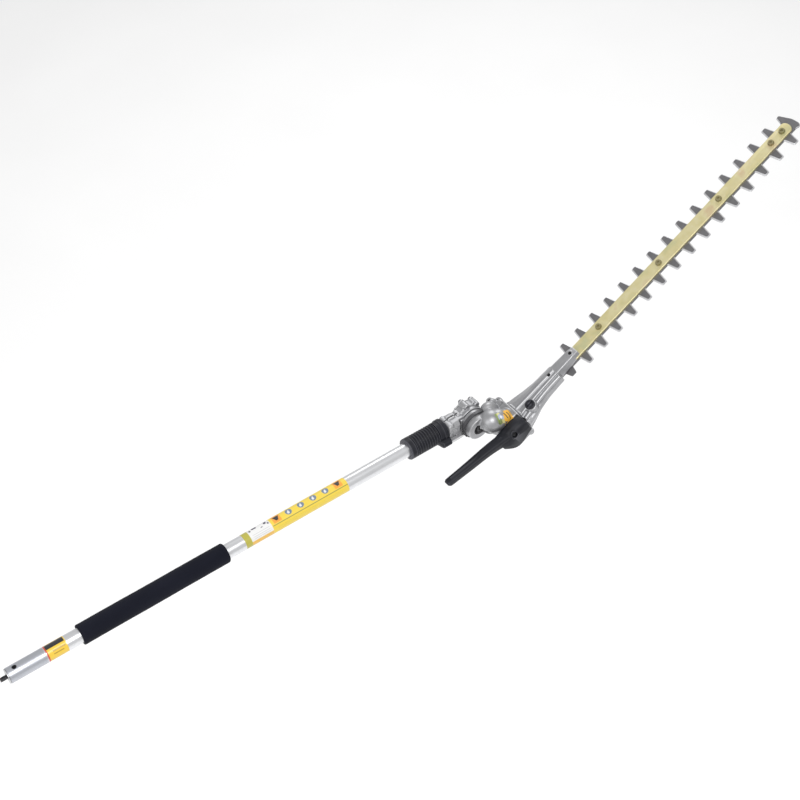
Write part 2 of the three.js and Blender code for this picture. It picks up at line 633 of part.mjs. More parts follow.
function makeGuideBar() {
  const holes = BOLT_PLACES.map((x) => slot(x - BOLT_RADIUS - 0.3, x + BOLT_RADIUS + 0.3, BOLT_RADIUS + 0.3));
  const nose = [];
  const depth = BAR_HALF * 0.7; // of the rounded front end
  for (let i = 0; i <= 6; i += 1) {
    const angle = THREE.MathUtils.degToRad(-90 + i * 30);
    nose.push([BAR_END - depth + depth * Math.cos(angle), HEAD_Y + BAR_HALF * Math.sin(angle)]);
  }
  const outline = [[BAR_START, HEAD_Y - BAR_HALF], ...nose, [BAR_START, HEAD_Y + BAR_HALF]];
  piece("guide_bar", "zinc", plate(outline, BAR_UNDER, BAR_TOP, holes), head);
  BOLT_PLACES.forEach((x, i) => {
    const bolt = join(
      hexPrism(5.8, BAR_TOP + GAP, BAR_TOP + 4, [x, HEAD_Y, 0]),
      rod("z", BOLT_RADIUS, BLADES_UNDER - 4, BAR_TOP + 1, [x, HEAD_Y, 0], COARSE),
    );
    piece(`blade_bolt_${i + 1}`, "zinc", bolt, head);
    const nut = cut(
      hexPrism(5.8, BLADES_UNDER - 4.6, BLADES_UNDER - GAP, [x, HEAD_Y, 0]),
      rod("z", BOLT_RADIUS + GAP, BLADES_UNDER - 5, BLADES_UNDER + 1, [x, HEAD_Y, 0], COARSE),
    );
    piece(`blade_nut_${i + 1}`, "steel", nut, head);
  });
}

makeShaft();
makeDriveShaft();
makeSleeve();
makeKnuckle();
makeIdler();
makeHeadHousing();
makeHeadGears();
makeLowerCover();
makeGearCase();
makeHandle();
makeBlades();
makeGuideBar();

export default attachment;
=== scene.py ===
import math

import bmesh
import bpy
import numpy as np
from mathutils import Matrix, Vector
from mathutils.geometry import tessellate_polygon


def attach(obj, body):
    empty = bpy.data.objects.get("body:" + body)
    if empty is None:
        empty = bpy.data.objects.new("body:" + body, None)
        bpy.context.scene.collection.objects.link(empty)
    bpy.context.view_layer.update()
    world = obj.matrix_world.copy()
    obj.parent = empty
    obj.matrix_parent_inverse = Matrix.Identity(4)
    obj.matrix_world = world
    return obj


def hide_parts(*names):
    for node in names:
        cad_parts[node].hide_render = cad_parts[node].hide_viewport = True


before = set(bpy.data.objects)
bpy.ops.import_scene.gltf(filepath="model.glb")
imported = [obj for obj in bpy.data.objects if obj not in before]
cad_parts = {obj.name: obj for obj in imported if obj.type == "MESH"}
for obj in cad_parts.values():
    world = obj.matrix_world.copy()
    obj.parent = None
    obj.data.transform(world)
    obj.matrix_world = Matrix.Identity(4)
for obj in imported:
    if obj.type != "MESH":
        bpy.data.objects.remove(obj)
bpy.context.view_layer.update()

MM = 0.001
TURN = 2 * math.pi

HEAD_RISE = math.radians(30)
PIVOT = Vector((0.836, 0, 0))
SHAFT = Matrix.Scale(MM, 4)
HEAD = Matrix.Translation(PIVOT) @ Matrix.Rotation(-HEAD_RISE, 4, "Y") @ Matrix.Scale(MM, 4)
HEAD_Y = -42.0


# ---------------------------------------------------------------- surfaces

class Skin:
    """Points in millimetres and the faces between them. Adding two keeps both as separate shells."""

    def __init__(self, points, *faces):
        self.points = np.asarray(points, float).reshape(-1, 3)
        self.faces = [np.asarray(f, int) for f in faces if len(f)]

    def __add__(self, other):
        moved = [f + len(self.points) for f in other.faces]
        return Skin(np.concatenate([self.points, other.points]), *self.faces, *moved)

    def moved(self, x=0, y=0, z=0):
        """The same faces, each point shifted."""
        return Skin(self.points + (x, y, z), *self.faces)

    def turned(self, axis, degrees):
        """The same faces, each point turned about an axis through the origin."""
        spin = np.array(Matrix.Rotation(math.radians(degrees), 3, axis))
        return Skin(self.points @ spin.T, *self.faces)


def both(*skins):
    """All the skins as one, each still a shell of its own."""
    total = skins[0]
    for skin in skins[1:]:
        total = total + skin
    return total


def quads(rows, columns, wrap=True):
    """Corners of the four-sided faces of a grid; wrap joins the last column to the first."""
    r, c = np.meshgrid(np.arange(rows - 1), np.arange(columns if wrap else columns - 1), indexing="ij")
    d = (c + 1) % columns
    here, beyond = r * columns, (r + 1) * columns
    return np.stack([here + c, here + d, beyond + d, beyond + c], -1).reshape(-1, 4)


def rounded(corners, radius, steps=4):
    """A profile whose inner corners are rounded: each corner becomes a quadratic arc that starts and
    ends the radius away from it, or just under half a side away where the side is short."""
    corners = [np.asarray(c, float) for c in corners]
    out = [corners[0]]
    t = np.linspace(0, 1, steps + 1)[:, None]
    for before, corner, after in zip(corners, corners[1:], corners[2:]):
        back, on = before - corner, after - corner
        a = corner + back * min(0.48, radius / max(np.linalg.norm(back), 1e-9))
        b = corner + on * min(0.48, radius / max(np.linalg.norm(on), 1e-9))
        out.extend((1 - t) ** 2 * a + 2 * t * (1 - t) * corner + t ** 2 * b)
    return np.array([*out, corners[-1]])


def through(s, knots, values):
    """A smooth curve through values at knots: cubic between neighbours, its slope at a knot the
    average of the slopes beside it."""
    knots, values = np.asarray(knots, float), np.asarray(values, float)
    slope = np.gradient(values, knots)
    i = np.clip(np.searchsorted(knots, s, side="right") - 1, 0, len(knots) - 2)
    h = knots[i + 1] - knots[i]
    t = (s - knots[i]) / h
    return (
        (1 + 2 * t) * (1 - t) ** 2 * values[i] + t * (1 - t) ** 2 * h * slope[i]
        + t ** 2 * (3 - 2 * t) * values[i + 1] - t ** 2 * (1 - t) * h * slope[i + 1]
    )


def lathe(axis, profile, centre=(0, 0, 0), around=64, swell=None):
    """Carries a profile of (place along the axis, radius) round the axis. swell(place, angle) is
    added to the radius where the radius isn't zero. Angle 0 is +Y for x, +Z for y, +X for z."""
    along, radius = np.asarray(profile, float).T
    angle = np.arange(around) / around * TURN
    along, angle = np.meshgrid(along, angle, indexing="ij")
    radii = np.repeat(radius[:, None], around, 1)
    if swell is not None:
        radii = radii + np.where(radii > 1e-6, swell(along, angle), 0)
    u, v = radii * np.cos(angle), radii * np.sin(angle)
    order = {"x": (along, u, v), "y": (v, along, u), "z": (u, v, along)}[axis]
    return Skin(np.stack(order, -1) + np.asarray(centre, float), quads(*along.shape))


def disc_rod(axis, radius, start, end, centre=(0, 0, 0), around=64, edge=0.6):
    """A solid rod with its two rims rounded by edge."""
    profile = rounded([(start, 0), (start, radius), (end, radius), (end, 0)], edge)
    return lathe(axis, profile, centre, around)


def lofted(rings):
    """Joins rings of equal length, given as (rings, points, 3), with a fan at each end."""
    rings = np.asarray(rings, float)
    count, around = rings.shape[:2]
    points = np.concatenate([rings.reshape(-1, 3), rings[0].mean(0)[None], rings[-1].mean(0)[None]])
    i = np.arange(around)
    j = (i + 1) % around
    last = (count - 1) * around
    first_fan = np.stack([j, i, np.full(around, count * around)], -1)
    last_fan = np.stack([last + i, last + j, np.full(around, count * around + 1)], -1)
    return Skin(points, quads(count, around), first_fan, last_fan)


def oval(half_across, half_high, power, around=48):
    """Round-cornered sections: across = half * sign(cos) * |cos|^(2/power), high the same with sin.
    Power 2 is an ellipse, and a larger one comes nearer to a rectangle."""
    angle = np.arange(around) / around * TURN
    given = (half_across, half_high, power)
    half_across, half_high, power = (np.asarray(v, float)[:, None] for v in given)
    c, s = np.cos(angle)[None], np.sin(angle)[None]
    return (
        half_across * np.sign(c) * np.abs(c) ** (2 / power),
        half_high * np.sign(s) * np.abs(s) ** (2 / power),
    )


def slab(x, y, z, edge=0.5):
    """A block between (low, high) pairs, its twelve edges rounded by edge."""
    half = [(b - a) / 2 for a, b in (x, y, z)]
    middle = [(a + b) / 2 for a, b in (x, y, z)]
    t = np.linspace(0, math.pi / 2, 4)
    rise = np.concatenate([-half[2] + edge * (1 - np.cos(t)), half[2] - edge * (1 - np.cos(t[::-1]))])
    inset = np.concatenate([edge * (1 - np.sin(t)), edge * (1 - np.sin(t[::-1]))])
    corner = np.linspace(0, math.pi / 2, 4)
    rings = []
    for z_now, less in zip(rise, inset):
        ring = []
        for k, (sx, sy) in enumerate([(1, 1), (-1, 1), (-1, -1), (1, -1)]):
            angle = corner + k * math.pi / 2
            cx, cy = sx * (half[0] - edge), sy * (half[1] - edge)
            grow = edge - less
            ring.append(np.stack([cx + grow * np.cos(angle), cy + grow * np.sin(angle)], -1))
        flat = np.concatenate(ring)
        rings.append(np.column_stack([flat, np.full(len(flat), z_now)]))
    return lofted(rings).moved(*middle)


def slotted_plate(outline, holes, levels):
    """A flat plate from an outline and hole outlines, all [x, y]. levels are (height, outline
    points at that height), lowest first; its faces are walls between levels and two lids."""
    rings = [np.column_stack([flat, np.full(len(flat), height)]) for height, flat in levels]
    count = len(outline)
    points = [np.concatenate(rings)]
    faces = [quads(len(rings), count)]
    start = len(points[0])
    lids = [[rings[0]], [rings[-1]]]
    numbers = [[np.arange(count)], [np.arange(count) + count * (len(rings) - 1)]]
    for hole in holes:
        flat = np.asarray(hole, float)
        low = np.column_stack([flat, np.full(len(flat), levels[0][0])])
        high = np.column_stack([flat, np.full(len(flat), levels[-1][0])])
        points.extend([low, high])
        faces.append(quads(2, len(flat)) + start)
        for k, ring in enumerate((low, high)):
            lids[k].append(ring)
            numbers[k].append(np.arange(len(flat)) + start + k * len(flat))
        start += 2 * len(flat)
    for lid, number in zip(lids, numbers):
        triangles = tessellate_polygon([[Vector((p[0], p[1], 0)) for p in ring] for ring in lid])
        faces.append(np.concatenate(number)[np.array(triangles)])
    return Skin(np.concatenate(points), *faces)


def mesh_of(name, skin, place):
    """A Blender mesh of a skin, its points carried from the skin's frame to the part's by place."""
    mesh = bpy.data.meshes.new(name)
    points = np.column_stack([skin.points, np.ones(len(skin.points))]) @ np.array(place).T
    loops = np.concatenate([f.ravel() for f in skin.faces])
    sizes = np.concatenate([np.full(len(f), f.shape[1]) for f in skin.faces])
    mesh.vertices.add(len(points))
    mesh.vertices.foreach_set("co", points[:, :3].ravel())
    mesh.loops.add(len(loops))
    mesh.loops.foreach_set("vertex_index", loops)
    mesh.polygons.add(len(sizes))
    mesh.polygons.foreach_set("loop_start", np.concatenate([[0], np.cumsum(sizes)[:-1]]))
    mesh.update(calc_edges=True)
    mesh.validate()
    return mesh


def tidy_mesh(mesh, merge=2e-6, outwards=True):
    """Merges points nearer than merge metres, drops faces with no area and turns the rest outwards."""
    work = bmesh.new()
    work.from_mesh(mesh)
    bmesh.ops.remove_doubles(work, verts=work.verts, dist=merge)
    bmesh.ops.dissolve_degenerate(work, dist=1e-7, edges=work.edges)
    if outwards:
        bmesh.ops.recalc_face_normals(work, faces=work.faces)
    work.to_mesh(mesh)
    work.free()


def shade(mesh, sharp_over=35):
    """Smooth shading, with sharp edges where faces meet at more than the angle in degrees."""
    mesh.shade_smooth()
    mesh.set_sharp_from_angle(angle=math.radians(sharp_over))


def new_object(name, mesh):
    piece = bpy.data.objects.new(name, mesh)
    bpy.context.scene.collection.objects.link(piece)
    return piece


def fit(piece, body, material, nodes=()):
    """Gives a finished piece its material, its body and the CAD nodes it stands for."""
    piece.data.materials.clear()
    piece.data.materials.append(material)
    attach(piece, body)
    if nodes:
        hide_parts(*nodes)
    return piece


def make(name, skin, place, body, finish, nodes=(), sharp_over=35):
    """A piece from a skin, in one of the finishes of FINISH."""
    mesh = mesh_of(name, skin, place)
    tidy_mesh(mesh)
    shade(mesh, sharp_over)
    return fit(new_object(name, mesh), body, FINISH[finish], nodes)


def apply_modifiers(piece):
    """Keeps the mesh that the modifiers make, and removes them."""
    bpy.context.view_layer.update()
    done = bpy.data.meshes.new_from_object(piece.evaluated_get(bpy.context.evaluated_depsgraph_get()))
    piece.modifiers.clear()
    old, piece.data = piece.data, done
    bpy.data.meshes.remove(old)


def cut_away(piece, cutter_skin, place):
    """Subtracts closed shells from a piece."""
    cutter_mesh = mesh_of("cutter", cutter_skin, place)
    tidy_mesh(cutter_mesh)
    cutter = new_object("cutter", cutter_mesh)
    modifier = piece.modifiers.new("cut", "BOOLEAN")
    modifier.object = cutter
    modifier.operation = "DIFFERENCE"
    modifier.solver = "MANIFOLD"
    apply_modifiers(piece)
    bpy.data.objects.remove(cutter)
    bpy.data.meshes.remove(cutter_mesh)


CORE_VOXEL, CORE_PASSES = 1.0, 36
AFTER_CUTS = 2e-5


def melt(piece, voxel, passes):
    """Turns overlapping shells into one skin of even quads and relaxes its corners into fillets."""
    grain = piece.modifiers.new("grain", "REMESH")
    grain.mode = "VOXEL"
    grain.voxel_size = voxel * MM
    relax = piece.modifiers.new("relax", "SMOOTH")
    relax.factor = 0.5
    relax.iterations = passes
    apply_modifiers(piece)


def cast(name, node, extra, place, body, finish, voxel, passes, cuts=(), core=None):
    """A casting: a copy of the CAD node, if there is one, and the extra shells on it are melted
    together. A core is melted on its own first, with wide fillets. Bores and recesses are cut
    afterwards."""
    if node is None:
        piece = new_object(name, mesh_of(name, extra, place))
    else:
        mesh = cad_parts[node].data.copy()
        mesh.name = name
        tidy_mesh(mesh, outwards=False)
        if extra is not None:
            added = [mesh_of("extra", extra, place)]
            tidy_mesh(added[0])
            if core is not None:
                soft = new_object("core", mesh_of("core", core, place))
                melt(soft, CORE_VOXEL, CORE_PASSES)
                added.append(soft.data)
                bpy.data.objects.remove(soft)
            work = bmesh.new()
            work.from_mesh(mesh)
            for other in added:
                work.from_mesh(other)
                bpy.data.meshes.remove(other)
            work.to_mesh(mesh)
            work.free()
        piece = new_object(name, mesh)
    melt(piece, voxel, passes)
    for skin in cuts:
        cut_away(piece, skin, place)
    if cuts:
        tidy_mesh(piece.data, merge=AFTER_CUTS, outwards=False)
    shade(piece.data, 40)
    return fit(piece, body, FINISH[finish], [node] if node else ())


# ---------------------------------------------------------------- finishes

class Flow:
    """A socket of a material. Arithmetic on it adds Math nodes."""

    def __init__(self, finish, socket):
        self.finish = finish
        self.socket = socket

    def _math(self, operation, *values):
        return self.finish.node("ShaderNodeMath", {"operation": operation}, dict(enumerate(values)))

    def __add__(self, other):
        return self._math("ADD", self, other)

    def __radd__(self, other):
        return self._math("ADD", other, self)

    def __sub__(self, other):
        return self._math("SUBTRACT", self, other)

    def __rsub__(self, other):
        return self._math("SUBTRACT", other, self)

    def __mul__(self, other):
        return self._math("MULTIPLY", self, other)

    def __rmul__(self, other):
        return self._math("MULTIPLY", other, self)

    def __abs__(self):
        return self._math("ABSOLUTE", self)

    def root(self):
        return self._math("SQRT", self)

    def least(self, other):
        return self._math("MINIMUM", self, other)

    def part(self):
        return self._math("FRACT", self)

    def ease(self, low, high):
        """0 below low, 1 above high and a smooth rise between."""
        settings = {"interpolation_type": "SMOOTHSTEP"}
        return self.finish.node("ShaderNodeMapRange", settings, {0: self, 1: low, 2: high}, "Result")


class Finish:
    """A material under construction."""

    def __init__(self, name):
        self.material = bpy.data.materials.new(name)
        self.material.use_nodes = True
        self.tree = self.material.node_tree
        self.tree.nodes.clear()

    def node(self, kind, settings=None, inputs=None, output=0):
        """Any node: its settings first, then the values or links of its sockets."""
        made = self.tree.nodes.new(kind)
        for name, value in (settings or {}).items():
            if name == "stops":
                ramp = made.color_ramp
                while len(ramp.elements) < len(value):
                    ramp.elements.new(0.5)
                for element, (place, colour) in zip(ramp.elements, value):
                    element.position = place
                    element.color = (*colour, 1)
            else:
                setattr(made, name, value)
        for name, value in (inputs or {}).items():
            if isinstance(value, Flow):
                self.tree.links.new(value.socket, made.inputs[name])
            else:
                made.inputs[name].default_value = value
        return Flow(self, made.outputs[output]) if made.outputs else made

    def place(self, scale=(1, 1, 1), lean=0):
        """Object coordinates, stretched by scale after being leaned back about Y."""
        at = self.node("ShaderNodeTexCoord", output="Object")
        if lean:
            at = self.node("ShaderNodeMapping", {}, {"Vector": at, "Rotation": (0, lean, 0)})
        return self.node("ShaderNodeMapping", {}, {"Vector": at, "Scale": scale})

    def noise(self, at, scale, detail=3.0, rough=0.55):
        inputs = {"Vector": at, "Scale": scale, "Detail": detail, "Roughness": rough}
        return self.node("ShaderNodeTexNoise", {}, inputs, "Fac")

    def cells(self, at, scale):
        """Distance to the nearest of many scattered points."""
        return self.node("ShaderNodeTexVoronoi", {}, {"Vector": at, "Scale": scale}, "Distance")

    def ramp(self, value, *stops):
        return self.node("ShaderNodeValToRGB", {"stops": stops}, {"Fac": value}, "Color")

    def mix(self, share, a, b):
        """Colour a where share is 0, colour b where it is 1."""
        a, b = (c if isinstance(c, Flow) else (*c, 1) for c in (a, b))
        return self.node("ShaderNodeMix", {"data_type": "RGBA"}, {0: share, 6: a, 7: b}, 2)

    def bump(self, height, distance, strength):
        inputs = {"Height": height, "Distance": distance, "Strength": strength}
        return self.node("ShaderNodeBump", {}, inputs, "Normal")

    def done(self, **inputs):
        """Ends the material: names with _ for spaces are sockets of the Principled shader."""
        inputs = {name.replace("_", " "): value for name, value in inputs.items()}
        colour = inputs.get("Base Color")
        if isinstance(colour, tuple):
            inputs["Base Color"] = (*colour, 1)
        surface = self.node("ShaderNodeBsdfPrincipled", {}, inputs)
        self.node("ShaderNodeOutputMaterial", {}, {"Surface": surface})
        return self.material


def edges(finish, low=0.47, high=0.56):
    """How far a spot stands out as an outer edge, 0 in creases and 1 on rims. The finishes use it for painted
    shade in creases and painted highlights on rims.
    """
    return finish.node("ShaderNodeNewGeometry", output="Pointiness").ease(low, high)


def drawn_aluminium():
    f = Finish("drawn_aluminium")
    lines = f.noise(f.place((6, 900, 900)), 1.0, 5, 0.6)
    cloud = f.noise(f.place(), 30, 3)
    scuffs = f.noise(f.place((40, 300, 300)), 1.6, 2).ease(0.66, 0.72)
    colour = f.ramp(lines * 0.6 + cloud * 0.4, (0.25, (0.70, 0.71, 0.73)), (0.75, (0.84, 0.845, 0.86)))
    colour = f.mix(scuffs * 0.35, colour, (0.55, 0.55, 0.57))
    dull = 1 - f.node("ShaderNodeSeparateXYZ", {}, {"Vector": f.place()}, "X").ease(0.068, 0.072)
    colour = f.mix(dull * 0.75, colour, (0.42, 0.44, 0.49))
    return f.done(
        Base_Color=colour, Metallic=0.88, Roughness=0.24 + lines * 0.12 + scuffs * 0.15 + dull * 0.08,
        Normal=f.bump(lines, 0.00006, 0.4), Coat_Weight=0.25, Coat_Roughness=0.2,
    )


def cast_aluminium(name, lean):
    f = Finish(name)
    at = f.place(lean=lean)
    grain = f.noise(at, 1400, 3, 0.7)
    cloud = f.noise(at, 45, 4)
    marks = f.noise(at, 260, 2).ease(0.62, 0.74)
    rim = edges(f)
    colour = f.ramp(cloud, (0.3, (0.27, 0.273, 0.285)), (0.7, (0.38, 0.382, 0.395)))
    # Painted shade in creases and painted highlight on rims, partly edge wear: pointiness mixes rims toward
    # pale grey and leaves creases dark.
    colour = f.mix(rim * 0.55, colour, (0.80, 0.80, 0.81))
    colour = f.mix(marks * 0.3, colour, (0.24, 0.24, 0.25))
    return f.done(
        Base_Color=colour, Metallic=0.82, Roughness=0.38 + cloud * 0.16 - rim * 0.08,
        Normal=f.bump(grain + cloud * 0.8, 0.00012, 0.5),
    )


def blade_steel():
    f = Finish("blade_steel")
    at = f.place(lean=-HEAD_RISE)
    ground = f.noise(f.place((30, 1400, 30), -HEAD_RISE), 1.0, 4, 0.7)
    cloud = f.noise(at, 60, 4)
    dark_share = f.noise(at, 22, 3).ease(0.55, 0.75)
    colour = f.ramp(ground * 0.5 + cloud * 0.5, (0.3, (0.150, 0.148, 0.155)), (0.7, (0.235, 0.232, 0.24)))
    # dark_share here marks brownish stains in patches.
    colour = f.mix(dark_share * 0.3, colour, (0.17, 0.145, 0.125))
    return f.done(
        Base_Color=colour, Metallic=0.75, Roughness=0.36 + ground * 0.18,
        Normal=f.bump(ground, 0.00005, 0.5),
    )


def ground_edge():
    f = Finish("ground_edge")
    lines = f.noise(f.place((900, 60, 60), -HEAD_RISE), 1.0, 4, 0.7)
    colour = f.ramp(lines, (0.3, (0.55, 0.55, 0.57)), (0.7, (0.76, 0.76, 0.78)))
    return f.done(
        Base_Color=colour, Metallic=0.7, Roughness=0.30 + lines * 0.14,
        Normal=f.bump(lines, 0.00004, 0.5),
    )


def yellow_zinc(name="yellow_zinc", dark_share=0.0):
    f = Finish(name)
    at = f.place(lean=-HEAD_RISE)
    cloud = f.noise(f.place((14, 60, 60), -HEAD_RISE), 1.0, 4)
    film = f.noise(at, 34, 2)
    fine = f.noise(at, 900, 2)
    rub = f.noise(f.place((12, 240, 240), -HEAD_RISE), 1.0, 3).ease(0.60, 0.72)
    colour = f.ramp(
        film, (0.30, (0.56, 0.55, 0.30)), (0.45, (0.68, 0.60, 0.30)),
        (0.58, (0.73, 0.66, 0.38)), (0.72, (0.66, 0.50, 0.30)),
    )
    colour = f.mix(cloud * 0.45, colour, (0.78, 0.73, 0.46))
    colour = f.mix(rub * 0.35, colour, (0.74, 0.73, 0.66))
    # dark_share mixes the colour toward dark olive-brown; the bolts take this darker copy of the zinc.
    colour = f.mix(dark_share, colour, (0.07, 0.055, 0.02))
    return f.done(
        Base_Color=colour, Metallic=0.62, Roughness=0.30 + cloud * 0.16,
        Normal=f.bump(fine + cloud, 0.00005, 0.4),
    )


def bright_steel():
    f = Finish("bright_steel")
    fine = f.noise(f.place(), 700, 3)
    cloud = f.noise(f.place(), 70, 3)
    rim = edges(f)
    colour = f.ramp(cloud, (0.3, (0.42, 0.42, 0.43)), (0.7, (0.55, 0.55, 0.56)))
    # Painted shade in creases and painted highlight on rims, partly edge wear: pointiness mixes rims toward
    # pale steel and leaves creases dark.
    colour = f.mix(rim * 0.5, colour, (0.76, 0.76, 0.77))
    return f.done(
        Base_Color=colour, Metallic=0.9, Roughness=0.26 + fine * 0.14,
        Normal=f.bump(fine, 0.00004, 0.4),
    )


def black_steel():
    f = Finish("black_steel")
    fine = f.noise(f.place(), 600, 3)
    cloud = f.noise(f.place(), 60, 3)
    rim = edges(f, 0.5, 0.6)
    colour = f.ramp(cloud, (0.3, (0.022, 0.023, 0.026)), (0.7, (0.05, 0.05, 0.054)))
    # Painted highlight on rims, partly edge wear: pointiness mixes rims toward grey.
    colour = f.mix(rim * 0.35, colour, (0.22, 0.22, 0.23))
    return f.done(
        Base_Color=colour, Metallic=0.6, Roughness=0.36 + fine * 0.15,
        Normal=f.bump(fine, 0.00005, 0.4),
    )


def moulded_plastic():
    f = Finish("moulded_plastic")
    at = f.place()
    leather = f.cells(at, 1500)
    cloud = f.noise(at, 50, 3)
    rim = edges(f, 0.505, 0.55)
    colour = f.ramp(cloud, (0.3, (0.006, 0.0065, 0.010)), (0.7, (0.013, 0.014, 0.020)))
    # Painted highlight: pointiness mixes ridges and rims toward grey in place of their sheen.
    colour = f.mix(rim * 0.6, colour, (0.11, 0.11, 0.13))
    return f.done(
        Base_Color=colour, Roughness=0.40 + cloud * 0.16, Specular_IOR_Level=0.32,
        Normal=f.bump(leather, 0.00010, 0.45),
    )


def foam_rubber():
    f = Finish("foam_rubber")
    at = f.place()
    pores = f.cells(at, 1100)
    crumbs = f.noise(at, 600, 4, 0.7)
    wear = f.noise(f.place((12, 30, 30)), 1.0, 4)
    colour = f.ramp(crumbs * 0.5 + wear * 0.5, (0.3, (0.004, 0.005, 0.010)), (0.7, (0.010, 0.011, 0.020)))
    height = pores * 0.7 + crumbs * 0.6
    return f.done(
        Base_Color=colour, Roughness=0.88 + crumbs * 0.08, Specular_IOR_Level=0.16,
        Sheen_Weight=0.03, Sheen_Roughness=0.5, Normal=f.bump(height, 0.00045, 0.7),
    )


def band(value, low, high, soft=0.012):
    """1 between low and high, 0 outside."""
    return value.ease(low - soft, low + soft) * (1 - value.ease(high - soft, high + soft))


def spot(u, v, at, size, radius, soft=0.25):
    """1 inside a round mark: at in shares of the film, size of the film and radius in millimetres."""
    x, y = (u - at[0]) * size[0], (v - at[1]) * size[1]
    return 1 - (x * x + y * y).root().ease(radius - soft, radius + soft)


def printed(name, colour_of):
    """A glossy printed film. colour_of gives the colour from the finish and the film's u and v."""
    f = Finish(name)
    at = f.node("ShaderNodeUVMap", {"uv_map": "print"}, output="UV")
    u = f.node("ShaderNodeSeparateXYZ", {}, {"Vector": at}, "X")
    v = f.node("ShaderNodeSeparateXYZ", {}, {"Vector": at}, "Y")
    wear = f.noise(f.place(), 160, 3)
    colour = f.mix(wear.ease(0.62, 0.75) * 0.12, colour_of(f, u, v), (0.45, 0.44, 0.42))
    return f.done(Base_Color=colour, Roughness=0.26 + wear * 0.14, Coat_Weight=0.35, Coat_Roughness=0.12)


def rear_print(f, u, v):
    """A black field over a yellow one, inside a yellow rim, with a red bar at the rear."""
    field = band(u, 0.05, 0.96) * band(v, 0.06, 0.36)
    lower = band(u, 0.30, 0.93) * band(v, 0.50, 0.56) + band(u, 0.30, 0.80) * band(v, 0.64, 0.69)
    colour = f.mix(field, (0.83, 0.56, 0.05), (0.018, 0.018, 0.022))
    colour = f.mix(lower * 0.75, colour, (0.35, 0.20, 0.03))
    return f.mix(1 - u.ease(0.05, 0.08) - field, colour, (0.60, 0.05, 0.03))


def long_print(f, u, v):
    """An olive rear end, a white field with small dark marks, then yellow with two warning patches,
    four blue-grey discs and an olive line."""
    size = (189.7, 33.9)
    specks = f.cells(f.node("ShaderNodeCombineXYZ", {}, {"X": u * 26, "Y": v * 5}), 1.0)
    marks = (1 - specks.ease(0.30, 0.36)) * band(v, 0.10, 0.36, 0.02) * band(u, 0.07, 0.25)
    rows = band((v * 11).part(), 0.25, 0.6, 0.08) * band(v, 0.42, 0.80) * band(u, 0.08, 0.24)
    colour = f.mix(u.ease(0.255, 0.262), (0.80, 0.80, 0.79), (0.83, 0.62, 0.07))
    colour = f.mix(rows * 0.35, colour, (0.30, 0.30, 0.32))
    colour = f.mix(marks, colour, (0.05, 0.04, 0.08))
    colour = f.mix(v.ease(0.74, 0.77) * (1 - u.ease(0.255, 0.262)), colour, (0.80, 0.47, 0.08))
    colour = f.mix(1 - u.ease(0.052, 0.06), colour, (0.46, 0.42, 0.06))
    colour = f.mix(band(v, 0.56, 0.60, 0.006) * u.ease(0.262, 0.27), colour, (0.34, 0.30, 0.06))
    for start in (0.285, 0.885):
        patch = band(u, start, start + 0.075, 0.004) * band(v, 0.08, 0.52)
        slope = abs(u - start - 0.0375) * 12 + (0.42 - v) * -1.0
        mark = patch * (1 - slope.ease(0.10, 0.14)) * band(v, 0.18, 0.42)
        colour = f.mix(patch, colour, (0.85, 0.36, 0.05))
        colour = f.mix(mark, colour, (0.03, 0.03, 0.03))
    for at in (0.440, 0.559, 0.680, 0.801):
        disc = spot(u, v, (at, 0.31), size, 5.6)
        glyph = spot(u, v, (at, 0.27), size, 1.3) + spot(u, v, (at - 0.004, 0.36), size, 2.1)
        colour = f.mix(disc, colour, (0.16, 0.22, 0.31))
        colour = f.mix(glyph.least(1), colour, (0.75, 0.76, 0.78))
    lines = band((v * 16).part(), 0.3, 0.6, 0.06) * band(v, 0.68, 0.90) * band(u, 0.30, 0.96)
    return f.mix(lines * 0.25, colour, (0.40, 0.30, 0.05))


def housing_print(f, u, v):
    """A green rear end, a blue-grey disc and an orange field with dark strokes."""
    size = (31.0, 15.5)
    strokes = band((u * 5 + v * 1.2).part(), 0.30, 0.62, 0.05) * band(v, 0.25, 0.75) * band(u, 0.46, 0.93)
    colour = f.mix(u.ease(0.34, 0.38), (0.70, 0.66, 0.30), (0.86, 0.47, 0.06))
    colour = f.mix(strokes, colour, (0.10, 0.06, 0.03))
    colour = f.mix(1 - u.ease(0.10, 0.16), colour, (0.26, 0.33, 0.12))
    colour = f.mix(spot(u, v, (0.26, 0.5), size, 5.0), colour, (0.42, 0.46, 0.62))
    return f.mix(spot(u, v, (0.26, 0.5), size, 2.0), colour, (0.80, 0.80, 0.84))


FINISH = {
    "tube": drawn_aluminium(),
    "shaft_casting": cast_aluminium("shaft_casting", 0),
    "head_casting": cast_aluminium("head_casting", -HEAD_RISE),
    "blade": blade_steel(),
    "ground": ground_edge(),
    "zinc": yellow_zinc(),
    "bolt": yellow_zinc("darker_zinc_bolt", 0.62),
    "steel": bright_steel(),
    "black_steel": black_steel(),
    "plastic": moulded_plastic(),
    "foam": foam_rubber(),
    "rear_print": printed("rear_print", rear_print),
    "long_print": printed("long_print", long_print),
    "housing_print": printed("housing_print", housing_print),
}

# The finish of each CAD node that stays as it is, by how its name starts; the rest are bright steel.
NODE_FINISH = {
    "liner_bush": "plastic",
    "index_ring": "black_steel",
    "upper_fork": "blade",
    "lower_fork": "blade",
}


def finish_nodes():
    """Gives every CAD node its finish; those that a piece replaces aren't seen."""
    for name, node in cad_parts.items():
        key = next((k for k in NODE_FINISH if name.startswith(k)), None)
        finish = NODE_FINISH.get(key, "steel")
        for place in node.material_slots:
            place.material = FINISH[finish]


finish_nodes()


# ---------------------------------------------------------------- shaft

